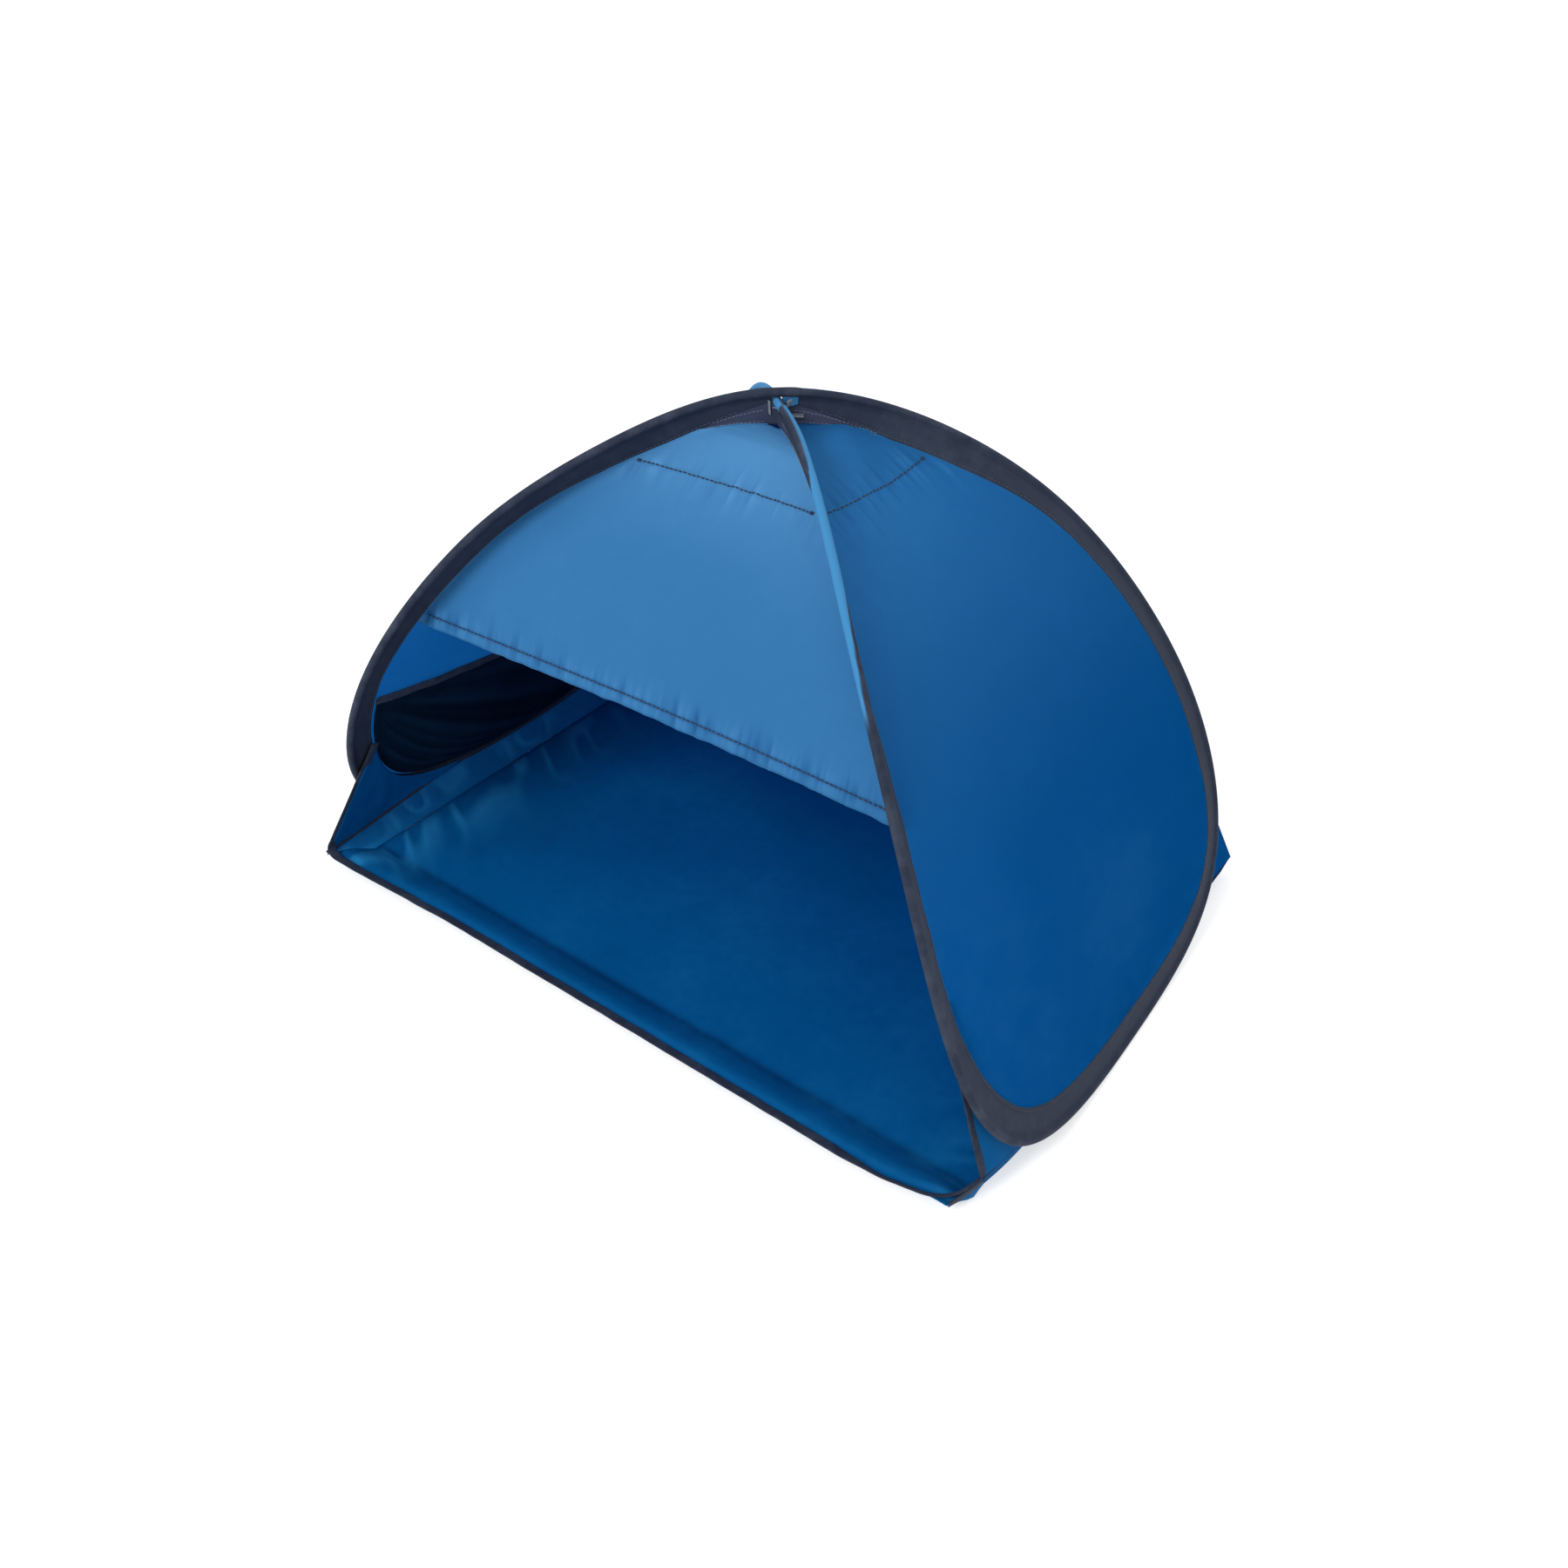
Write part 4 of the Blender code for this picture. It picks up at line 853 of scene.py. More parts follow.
def crossRows(s, u, back, offset=-0.0005):
    left, right = crossSeams(s, back, offset)
    mix = u[None, :, None]
    rows = left[:, None] * (1 - mix) / 2 + right[:, None] * (1 + mix) / 2
    end, amount = (tent["backLeave"], backPanel["sag"]) if back else (canopy["sagEnd"], canopy["sag"])
    share = np.clip((s - canopy["start"]) / (end - canopy["start"]), 0, 1)
    drop = amount * np.sin(math.pi * share) + (0 if back else canopy["bow"]) * share**2
    return rows + drop[:, None, None] * (1 - mix**2) * crossInward(back)


def spacedColumns(count):
    t = np.linspace(-1, 1, count)
    return 0.8 * t + 0.2 * np.sin(t * math.pi / 2)


def makeCanopy(seed):
    s = np.concatenate([steps(canopy["top"], 0.16, 0.0024), steps(0.16, 0.31, 0.0045)[1:],
                        steps(0.31, tent["canopyEnd"], 0.0016)[1:]])
    u = spacedColumns(330)
    rows = crossRows(s, u, 0)
    over, down = gridRuns(rows)
    toEdge = edgeDistance(over)
    sign = outwardSign(rows)
    arcLine = panel["arc"] - canopy["arcSag"] * (1 - u**2)
    arcAway = (s[:, None] - arcLine[None]) * 0.9
    inArc = eased((1 - np.abs(u)[None]) / 0.1)
    gathers = puckers(over, arcAway, seed, panel["arcPitch"], canopy["arcPucker"], panel["arcReach"]) * inArc
    hemAway = s[:, None] - canopy["stitch"] + 0 * over
    pleats = puckers(over, hemAway, seed + 4, canopy["hemPitch"], canopy["hemPucker"], canopy["hemReach"])
    height = gathers + pleats
    height += puckers(s[:, None] + 3 * (u[None] > 0), toEdge, seed + 9, canopy["edgePitch"],
                      canopy["edgePucker"], canopy["edgeReach"])
    height += canopy["broad"] * gridNoise(over, down, 0.13, 0.12, seed + 8) * eased(toEdge / 0.05)
    rows = pushed(rows, height * sign)
    scallop = lineNoise(over[-1] / 0.010, seed + 12) * canopy["scallop"] * eased(toEdge[-1] / 0.01)
    rows[..., 2] += eased((s - canopy["stitch"]) / 0.009)[:, None] * scallop
    rows = tucked(rows, *crossSeams(s, 0, -0.0004, tuckAt(s, canopy["tuck"])))
    # painted shade in the stitched grooves and in the valleys of the gathers and pleats
    shade = gathers / canopy["arcPucker"] + pleats / canopy["hemPucker"]
    paintedShade = bell(arcAway, 0, grooveWidth) * 0.9 * inArc + bell(hemAway, 0, 0.0020) * 0.8
    paintedShade = paintedShade + gatherShade * np.clip(-shade, 0, 1)
    paintedShade, shade = (np.concatenate([mask[:, :1], mask, mask[:, :1]], 1) for mask in (paintedShade, shade))
    # painted light: paler towards the crown, with painted highlight on the ridges of the gathers and pleats
    pale = eased((0.24 - s[:, None]) / 0.20) + 0.6 * np.clip(shade, 0, 1)
    piece = gridPiece("frontCanopy", rows, canopyCloth, None, masks={"paintedShade": paintedShade, "paintedLightAndWear": pale})
    settle(piece, "front_canopy", canopy["across"])
    # the hem: bottom roll and the ply turned up inside, as far as the stitches
    seamRow = rows[:, 1:-1]
    inward = crossInward(0)
    outer = seamRow[s > canopy["stitch"] - 0.0006][::-1]
    bottom = outer[0]
    fall = unit(bottom - outer[2])
    hemRows = [bottom - inward * 0.0001]
    for a in np.linspace(0, math.pi, 7)[1:-1]:
        hemRows.append(bottom + inward * 0.0007 * (1 - math.cos(a)) + fall * 0.0008 * math.sin(a))
    hemRows = np.concatenate([hemRows, outer + inward * canopy["hemPly"]])[:, 3:-3]
    hem = gridPiece("canopyHem", hemRows, canopyCloth, None)
    settle(hem, "canopy_hem", canopy["across"])
    normal = gridNormal(seamRow) * sign
    for label, line, width in (("canopyCrownStitches", arcLine, 0.95),
                               ("hemStitches", canopy["stitch"] + 0 * u, 0.985)):
        pick = np.flatnonzero(np.abs(u) < width)
        path = acrossGrid(seamRow, s, line, pick)
        up = normal[np.searchsorted(s, line[len(line) // 2])][pick]
        thread = stitchPiece(label, path, up, navyThread, None, pitch=canopy["stitchPitch"], lift=0.0005,
                             seed=seed)
        settle(thread, across=canopy["across"])
        if line is arcLine:
            for end, order in (("Left", 1), ("Right", -1)):
                barTack("canopy" + end + "Tack", path[::order][:24], up[::order][:24], None, canopy["across"])
    cutCloth(piece, rows)
    cutCloth(hem, hemRows)


makeCanopy(61)
print("canopy made")

# Back panel: follows the back ribs, then leaves them for the floor's corners
backPanel = {
    "top": 0.0075, "sag": 0.006, "broad": 0.0018, "edgePitch": 0.015, "edgePucker": 0.0006,
    "edgeReach": 0.020, "across": (0.20, 0.3),
}
# Each side's floor corners: where the binding turns at the front and how far from there the turn
# begins, where the seam's corner lies at the rear, how far the seams to the foot swell outwards, and
# the length over which the front edge is led to its corner
cornerTurn = {
    "right": {"front": (0.312, -0.232, 0.014), "rear": (0.334, 0.240, 0.018), "bend": 0.018,
              "swell": 0.007, "rearSwell": 0.001, "fade": 0.055},
    "left": {"front": (0.338, -0.246, 0.014), "rear": (0.328, 0.240, 0.018), "bend": 0.014,
             "swell": 0.001, "rearSwell": 0.001, "fade": 0.200},
}
# many left shapes are made on the right and turned over
flips = {"right": np.array([1.0, 1.0, 1.0]), "left": np.array([-1.0, 1.0, 1.0])}


def cornerPoint(side, back=0):
    return np.array(cornerTurn[side]["rear" if back else "front"])


# The seam from a floor corner to where the foot begins, at shares of its length: it swells outwards
def cornerSeam(side, share, back, end):
    place = cornerPoint(side, back)
    swelling = cornerTurn[side]["rearSwell" if back else "swell"]
    swelling = swelling * np.sin(math.pi * np.clip(share, 0, 1)) ** 0.8
    line = place + (end - place) * share[:, None]
    return line + swelling[:, None] * np.array([1.0, 0.5 if back else -0.5, 0.0])


# The front edge at a distance x from the middle: straight, then led to each side's corner
def frontEdge(x):
    x = np.asarray(x, float)
    places = np.stack([x, 0 * x - tent["frontEdge"], 0 * x + tent["lipHeight"]], -1)
    for side, sign in (("right", 1.0), ("left", -1.0)):
        end = cornerPoint(side)
        fade = cornerTurn[side]["fade"]
        share = eased((sign * x - end[0] + fade) / fade)
        places[..., 1:] += share[..., None] * (end[1:] - [-tent["frontEdge"], tent["lipHeight"]])
    return places


def makeBackPanel(seed):
    s = steps(backPanel["top"], tent["backLeave"], 0.0040)
    u = spacedColumns(200)
    upper = crossRows(s, u, 1)
    sLow = steps(tent["backLeave"], tent["gussetTop"], 0.006)[1:]
    foot = np.array([tent["floorWidth"] / 2, tent["floorDepth"] / 2 - 0.0012, 0.0010])
    fall = steps(0, 1, 0.028)[1:, None]
    edges = []
    for side in ("left", "right"):
        place = cornerPoint(side, 1)
        edge = seamLine(side + "Back", sLow, -0.0012) * flips[side]
        down = place + (foot - place) * steps(0, 1, 0.25)[1:, None]
        edges.append(np.vstack([edge, edge[-1] + (place - edge[-1]) * fall, down]))
    half = ((1 + u) / 2)[None, :, None]
    joined = edges[0][:, None] * (1 - half) + edges[1][:, None] * half
    middle = upper[-1, len(u) // 2]
    share = (middle[2] - joined[..., 2]) / (middle[2] - foot[2])
    middleY = middle[1] + (tent["floorDepth"] / 2 - middle[1]) * share
    mix = np.abs(u) ** 3
    y = middleY * (1 - mix) + joined[..., 1] * mix
    rows = np.concatenate([upper, np.stack([joined[..., 0] * u, y, joined[..., 2]], -1)])
    over, down = gridRuns(rows)
    toEdge = edgeDistance(over)
    height = backPanel["broad"] * gridNoise(over, down, 0.12, 0.10, seed) * eased(toEdge / 0.06)
    height += puckers(down + 3 * (u[None] > 0), toEdge, seed + 9, backPanel["edgePitch"],
                      backPanel["edgePucker"], backPanel["edgeReach"])
    height *= eased((down[-1:] - down) / 0.04)
    rows = pushed(rows, height * outwardSign(rows))
    piece = gridPiece("backPanel", rows, sideCloth, None)
    settle(piece, "back_panel", backPanel["across"])
    cutCloth(piece, rows)


makeBackPanel(71)

# Crown facings: inner plies behind the stitched arcs
facing = {"top": 0.034, "end": 0.1225, "gap": 0.0013, "slack": 0.0006, "across": (0.05, 0.4)}


def makeFacings():
    s = steps(facing["top"], facing["end"], 0.004)
    u = spacedColumns(60)
    for part, cloth, slot, behind in (
        ("front", canopyCloth, "canopy_cloth", "frontCanopy"),
        ("back", sideCloth, "side_cloth", "backPanel"),
        ("right", sideCloth, "side_cloth", "rightSidePanel"),
        ("left", sideCloth, "side_cloth", "leftSidePanel"),
    ):
        isCross = part in ("front", "back")
        rows = crossRows(s, u, part == "back") if isCross else sideRows(part, s, u, 0.0004)
        inward = crossInward(part == "back") if isCross else sideInward(part)
        over, down = gridRuns(rows)
        slack = facing["slack"] * (gridNoise(over, down, 0.02, 0.05, 5 if isCross else 15) + 1)
        rows = rows + inward * (facing["gap"] + slack)[..., None]
        piece = gridPiece(part + "CrownFacing", rows, cloth, None if isCross else part + "_side")
        settle(piece, part + "_crown_facing", facing["across"] if isCross else None)
        cutCloth(piece, rows)


makeFacings()
print("back panel and facings made")

# Crown: a dark web under each arch, a sleeve over each arch where the tapes part, and the tie
crown = {
    "webTop": 0.0058, "webFoot": -0.0002, "webWave": 0.0003, "stitchGap": 0.010,
    "sleeve": 0.0165, "sleeveGrow": 0.00022, "sleeveWave": 0.00012,
    "tieHalfWidth": 0.0108, "tieBand": 0.0060, "tieCurl": 0.0003,
    "endGap": 0.0016, "endWave": 0.0006, "across": (0.02, 0.4),
}
webStitch = {"pitch": 0.0030, "length": 0.0024, "radius": 0.0003, "lift": 0.0005}
# Small cloth ends on the front of the web under the high arch: each is a strip along a rib, from one
# length to another, between two lines whose depths below the wire are given at both lengths
crownEnds = {
    "crownTab": {"rib": "rightBack", "run": (0.0030, 0.0150), "cloth": canopyCloth,
                 "upper": (0.0030, 0.0030), "lower": (0.0120, 0.0080)},
    "tieEndRight": {"rib": "rightBack", "run": (0.0040, 0.0200), "cloth": paleRibbon,
                    "upper": (0.0150, 0.0145), "lower": (0.0180, 0.0172)},
    "tieEndLeft": {"rib": "leftFront", "run": (0.0055, 0.0073), "cloth": paleRibbon,
                   "upper": (0.0060, 0.0050), "lower": (0.0165, 0.0150)},
}


def makeWeb(label, rightName, leftName, seed, node=None):
    s = steps(0, tent["webLength"] * 0.98, 0.0022)
    halves = []
    for name in (rightName, leftName):
        wire, fin, out = ribFrame(name, s)
        top = np.where(s < tape["start"], crown["webTop"], tapeWidthAt(s) - 0.0020)
        foot = seamDepth(name, s) + crown["webFoot"]
        depth = top[:, None] + (foot - top)[:, None] * steps(0, 1, 0.12)
        halves.append(wire[:, None] + fin[:, None] * depth[..., None])
    rows = np.concatenate([halves[0][::-1], halves[1][1:]])
    over, down = gridRuns(rows)
    rows = pushed(rows, crown["webWave"] * gridNoise(over, down, 0.006, 0.02, seed))
    piece = gridPiece(label, rows, webCloth, None, thickness=0.0008)
    settle(piece, node, crown["across"])
    # two rows of pale stitches on both faces: along the tape's edge and along the foot
    normal = gridNormal(rows)
    reach = down[:, 0] - down[len(rows) // 2, 0]
    for part, keep in (("Right", reach < -crown["stitchGap"]), ("Left", reach > crown["stitchGap"])):
        for line, column in (("Edge", 3), ("Foot", -2)):
            for face, sign in (("Front", 1), ("Rear", -1)):
                thread = stitchPiece(label + part + line + face, rows[keep, column],
                                     sign * normal[keep, column], paleThread, None, **webStitch)
                settle(thread, across=crown["across"])


makeWeb("crownWebOver", "rightBack", "leftFront", 81, "crown_web")
makeWeb("crownWebUnder", "rightFront", "leftBack", 85)


def makeSleeve(label, rightName, leftName, blueShare, seed):
    s = steps(0, crown["sleeve"], 0.0012)
    right, left = ribFrame(rightName, s), ribFrame(leftName, s)
    wire, fin = (np.concatenate([right[k][::-1], left[k][1:]]) for k in (0, 1))
    tangent = unit(np.gradient(wire, axis=0))
    fin = squareTo(fin, tangent)
    out = np.cross(tangent, fin)
    angle = np.linspace(0, 2 * math.pi, 25)[:-1]
    reach = np.concatenate([s[::-1], s[1:]])
    grow = crown["sleeveGrow"] * eased((crown["sleeve"] - reach) / 0.003)
    radius = tent["bead"] + grow + crown["sleeveWave"] * lineNoise(reach / 0.003, seed)
    rings = wire[:, None] + radius[:, None, None] * (
        fin[:, None] * np.cos(angle)[None, :, None] + out[:, None] * np.sin(angle)[None, :, None])
    onRight = (np.arange(len(rings)) < len(s))[:, None]
    # the blue mask carries the low ribs' painted highlight on over the sleeve
    outer = np.where(onRight, eased((np.sin(angle) + 0.05) / 0.25)[None], 1.0)
    masks = {"blue": blueShare * outer, "paintedLightAndWear": np.full(rings.shape[:2], 0.6)}
    piece = sweptPiece(label, rings, edgeTape, None, masks)
    settle(piece, across=crown["across"])


makeSleeve("crownSleeveOver", "rightBack", "leftFront", 0.0, 91)
makeSleeve("crownSleeveUnder", "rightFront", "leftBack", 1.0, 93)


# Sines or cosines pushed outwards, for an oval that's squarer than a circle
def squared(values):
    return np.sign(values) * np.abs(values) ** 0.6


def makeTie():
    angle = np.linspace(math.pi * 1.02, math.pi * 1.98, 40)
    top = wireTop - 0.0016
    low = wireTop - tent["crossingDrop"] - tent["bead"] - 0.0007
    x = (crown["tieHalfWidth"] * squared(np.cos(angle)))[:, None]
    z = (top + (top - low) * squared(np.sin(angle)))[:, None]
    y = np.linspace(-1, 1, 7) * crown["tieBand"] / 2
    rows = np.stack([x + 0 * y, y + 0 * x, z + crown["tieCurl"] * np.cos(y * 900)], -1)
    piece = gridPiece("crossingTie", rows, paleRibbon, None, inside=(0, 0, 0.44), thickness=0.0006)
    settle(piece, "crossing_tie", crown["across"])


makeTie()


def makeCrownEnds():
    for name, end in crownEnds.items():
        start, stop = end["run"]
        s = steps(start, stop, 0.0006)
        share = (s - start) / (stop - start)
        wire, fin, out = ribFrame(end["rib"], s)
        upper, lower = (a + (b - a) * share for a, b in (end["upper"], end["lower"]))
        t = steps(0, 1, 0.1)
        depth = upper[:, None] + (lower - upper)[:, None] * t
        toFront = unit(np.cross(wire[-1] - wire[0], fin[0]))
        toFront = toFront if toFront[1] < 0 else -toFront
        wave = crown["endWave"] * np.sin(math.pi * t)[None] * lineNoise(share * 3, 9)[:, None]
        rows = wire[:, None] + fin[:, None] * depth[..., None] + toFront * (crown["endGap"] + wave)[..., None]
        settle(gridPiece(name, rows, end["cloth"], None), across=crown["across"])


makeCrownEnds()
print("crown made")

# Each gusset's run along its rib: where it ends, how far it's moved outwards from the tape's middle,
# the share of the floor's corner seam left free in front of it, and how far its head is moved
# towards its end, as a share of the usual run
gussetRun = {
    "rightFront": {"end": 0.690, "inside": -0.0014, "foot": 0.27, "head": -0.26},
    "leftFront": {"end": 0.722, "inside": -0.0052, "foot": 0.0, "head": 0.0},
    "rightBack": {"end": 0.690, "inside": -0.0060, "foot": 0.0, "head": 0.0},
    "leftBack": {"end": 0.690, "inside": -0.0014, "foot": 0.0, "head": 0.0},
}

# Floor sheet: flat with soft wrinkles, its front lip and its two sides turned up
floorSheet = {
    "wrinkle": 0.0016, "fine": 0.0006, "crumple": 0.0045, "fold": 0.0012, "lipBulge": 0.0022,
    "sideCrumple": {"right": 0.0012, "left": 0.0030}, "across": (0.20, 0.0),
}
binding = {"width": 0.0085, "leftWidth": 0.0040, "thickness": 0.0018, "wave": 0.0003}
floorHalf = tent["floorWidth"] / 2 + 0.0007
lipFoot = -tent["frontEdge"] + tent["lipRun"]
lipSlope = unit(np.array([0.0, -tent["lipRun"], tent["lipHeight"]]))


def makeFloor(seed):
    x = np.unique(np.concatenate([steps(-floorHalf, -floorHalf + 0.09, 0.0018),
                                  steps(-floorHalf + 0.09, floorHalf, 0.0034)]))
    behind = np.concatenate([steps(lipFoot, lipFoot + 0.02, 0.0016),
                             steps(lipFoot + 0.02, tent["floorDepth"] / 2 - 0.0008, 0.0036)[1:]])[:, None]
    t = steps(0, 1, 0.05)[:-1, None, None]
    edge = frontEdge(x)
    # the lip reaches out to the corners' own width, and stops under the binding
    reachOut = np.where(x > 0, cornerPoint("right")[0], cornerPoint("left")[0]) / floorHalf
    edge[:, 0] = x * (1 + (reachOut - 1) * eased((np.abs(x) - floorHalf + 0.05) / 0.05))
    foot = np.stack([x, lipFoot + 0 * x, 0 * x], -1)
    top = edge + (foot - edge) * 0.10
    lip = top + (foot - top) * t
    t = t[..., 0]
    lip[..., 2] += floorSheet["lipBulge"] * np.sin(math.pi * t) ** 2 * eased((t - 0.12) / 0.25)
    rows = np.concatenate([lip, np.stack([x + 0 * behind, behind + 0 * x, 0 * x + 0 * behind], -1)])
    y, places = rows[..., 1], rows[..., :2]
    toSide = np.clip(floorHalf - np.abs(rows[..., 0]), 0, None)
    bump = floorSheet["wrinkle"] * np.clip(latticeNoise(places / [0.16, 0.10], seed) + 0.3, 0, None)
    bump += floorSheet["fine"] * np.clip(latticeNoise(places / [0.05, 0.035], seed + 1), 0, None)
    # crumpled along the left side, towards the front, and a little along the right
    onLeft = np.where(rows[..., 0] < 0, 1.0, 0.35) * eased((0.15 - y) / 0.12)
    crumple = 1.0 - np.abs(gridNoise(y + 0.6 * toSide, toSide, 0.020, 0.045, seed + 2)) * 2.2
    crumple = np.clip(crumple, 0, None) * bell(toSide, 0, 0.044) * (1 - np.exp(-toSide / 0.006))
    bump += floorSheet["crumple"] * crumple * onLeft * (0.6 + 0.4 * latticeNoise(places / 0.03, seed + 3))
    folds = np.clip(gridNoise(rows[..., 0], y - lipFoot, 0.022, 0.05, seed + 4), 0, 1)
    bump += floorSheet["fold"] * folds * bell(y, lipFoot, 0.020)
    # smooth under the binding, and at the sheet's other edges
    bump *= eased((y - edge[:, 1] - binding["width"] - 0.001) / 0.006)
    bump *= eased(toSide / 0.006) * eased((tent["floorDepth"] / 2 - y) / 0.01)
    lift = 0.0006 * eased((y - edge[:, 1] - binding["width"]) / 0.004)
    rows[..., 2] = np.maximum(rows[..., 2] + lift + bump, 0.0005)
    # painted shade in the fold at the lip's foot; painted highlight on the crumples' ridges, and a little
    # painted light on the lip's front slope
    paintedShade = 0.9 * bell(y - lipFoot, 0.003, 0.0045)
    paintedLightAndWear = np.clip(crumple * onLeft * 1.9, 0, 1) + 0.08 * eased((lipFoot - 0.002 - y) / 0.004)
    piece = gridPiece("floorSheet", rows, floorCloth, None, inside=(0, 0, 1.0),
                      masks={"paintedShade": paintedShade, "paintedLightAndWear": paintedLightAndWear})
    settle(piece, "floor_sheet", floorSheet["across"])
    cutCloth(piece, rows)


# A turned-up side, from the sheet's edge to the foot's seam and on to both corners, with its binding
def makeFloorSide(side, seed):
    front, back = (
        seamLine(side + end, np.linspace(gussetRun[side + end]["end"], ribLength, 80), -0.0030) * flips[side]
        for end in ("Front", "Back")
    )
    share = np.linspace(0, 1, 20)[:-1]
    front = np.vstack([cornerSeam(side, share, 0, front[0]), front])
    back = np.vstack([cornerSeam(side, share, 1, back[0]), back])
    table = np.vstack([front, back[::-1]])
    yTop = steps(front[0, 1] + 0.001, tent["floorDepth"] / 2 - 0.012, 0.003)
    line = tableAt(table, yTop, table[:, 1])
    yFoot = np.interp(yTop, [yTop[0], lipFoot + 0.01, yTop[-1]], [lipFoot, lipFoot + 0.012, yTop[-1]])
    base = np.stack([floorHalf + 0 * yFoot, yFoot, 0.0009 + 0 * yFoot], -1)
    slope = unit(line - base)
    t = steps(0, 1, 0.05)
    rows = base[:, None] + (line - slope * 0.0015 - base)[:, None] * t[None, :, None]
    y = rows[..., 1]
    ridge = 1.0 - np.abs(latticeNoise(np.stack([y / 0.018, 0 * y + t * 1.5], -1), seed)) * 2.0
    ridge = np.clip(ridge, 0, None) * np.sin(math.pi * t)[None] * eased((0.10 - y) / 0.12)
    rows = pushed(rows, floorSheet["sideCrumple"][side] * ridge) * flips[side]
    rows[..., 2] = np.maximum(rows[..., 2], 0.0006)
    body = "left_side" if side == "left" else None
    # painted highlight on the side's ridges, and painted light over the whole band
    piece = gridPiece(side + "FloorSide", rows, floorCloth, body, inside=(0, 0, 0.3),
                      masks={"paintedLightAndWear": np.clip(ridge * 1.2 + 0.3, 0, 1)})
    wide = binding["width" if side == "right" else "leftWidth"]
    rings = bandRings((line - slope * wide / 2) * flips[side], slope * flips[side], wide,
                      binding["thickness"], binding["wave"], seed + 10)
    edging = sweptPiece(side + "FloorBinding", rings, edgeTape, body)
    for part, slot, node in ((piece, "floor_cloth", "floor_side"),
                             (edging, "charcoal_tape", "floor_binding")):
        if side == "right":
            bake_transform(part)
        settle(part, side + "_" + node)
    cutCloth(piece, rows)


makeFloor(101)
makeFloorSide("right", 121)
makeFloorSide("left", 121)
print("floor made")

# Gussets: triangles that close the corners between the floor, the rib and the free edge
gusset = {"reach": 0.985, "slant": 1.6, "lap": 0.0045, "out": 0.0006, "wave": 0.0022}


def gussetEdges(side, share, back):
    name = side + ("Back" if back else "Front")
    run = gussetRun[name]
    share = np.atleast_1d(share)
    head = tent["gussetTop"] + (run["end"] - tent["gussetTop"]) * run["head"]
    upper = seamLine(name, head + (run["end"] - head) * share, run["inside"]) * flips[side]
    end = seamLine(name, run["end"], run["inside"])[0] * flips[side]
    return upper, cornerSeam(side, run["foot"] + (1 - run["foot"]) * share, back, end)


footCorner = np.array([tent["cornerWidth"] / 2, -tent["floorDepth"] / 2, 0.018])
gussetStart = (binding["width"] + 0.0008) / np.linalg.norm(gussetEdges("right", 1.0, 0)[1][0] - footCorner)


def makeGussets(seed):
    for index, (side, back) in enumerate((("right", 0), ("left", 0), ("right", 1), ("left", 1))):
        start = 0.002 if back else gussetStart * 0.25
        share = np.linspace(0, 1, 46)[:, None]
        upper = gussetEdges(side, np.linspace(start * gusset["slant"], gusset["reach"], 46), back)[0]
        lower = gussetEdges(side, np.linspace(start, gusset["reach"], 46), back)[1]
        if not back:
            # the lower edge laps down outside the floor's side
            lower = lower + np.array([gusset["out"], 0.0, -gusset["lap"]])
        t = steps(0, 1, 0.04)
        rows = upper[:, None] + (lower - upper)[:, None] * t[None, :, None]
        over, down = gridRuns(rows)
        away = np.sin(math.pi * t)[None] * np.sin(math.pi * share) ** 0.5
        height = gusset["wave"] * gridNoise(down, over, 0.016, 0.045, seed + index) * away
        rows = pushed(rows, height) * flips[side]
        rows[..., 2] = np.maximum(rows[..., 2], 0.0006)
        end, cloth, slot = ("Back", sideCloth, "side_cloth") if back else ("Front", floorCloth, "floor_cloth")
        piece = gridPiece(side + end + "Gusset", rows, cloth, side + "_side")
        settle(piece, side + "_" + end.lower() + "_gusset")
        cutCloth(piece, rows)


makeGussets(131)

# The binding's path has a number of points on each stretch; along the right side and round its
# corner it's narrower by a share
frontBinding = {"rise": 24, "down": 30, "ahead": 14, "front": 90, "arc": 18, "narrower": 0.62,
                "paintedLightAndWear": 0.85, "lift": 0.0005}


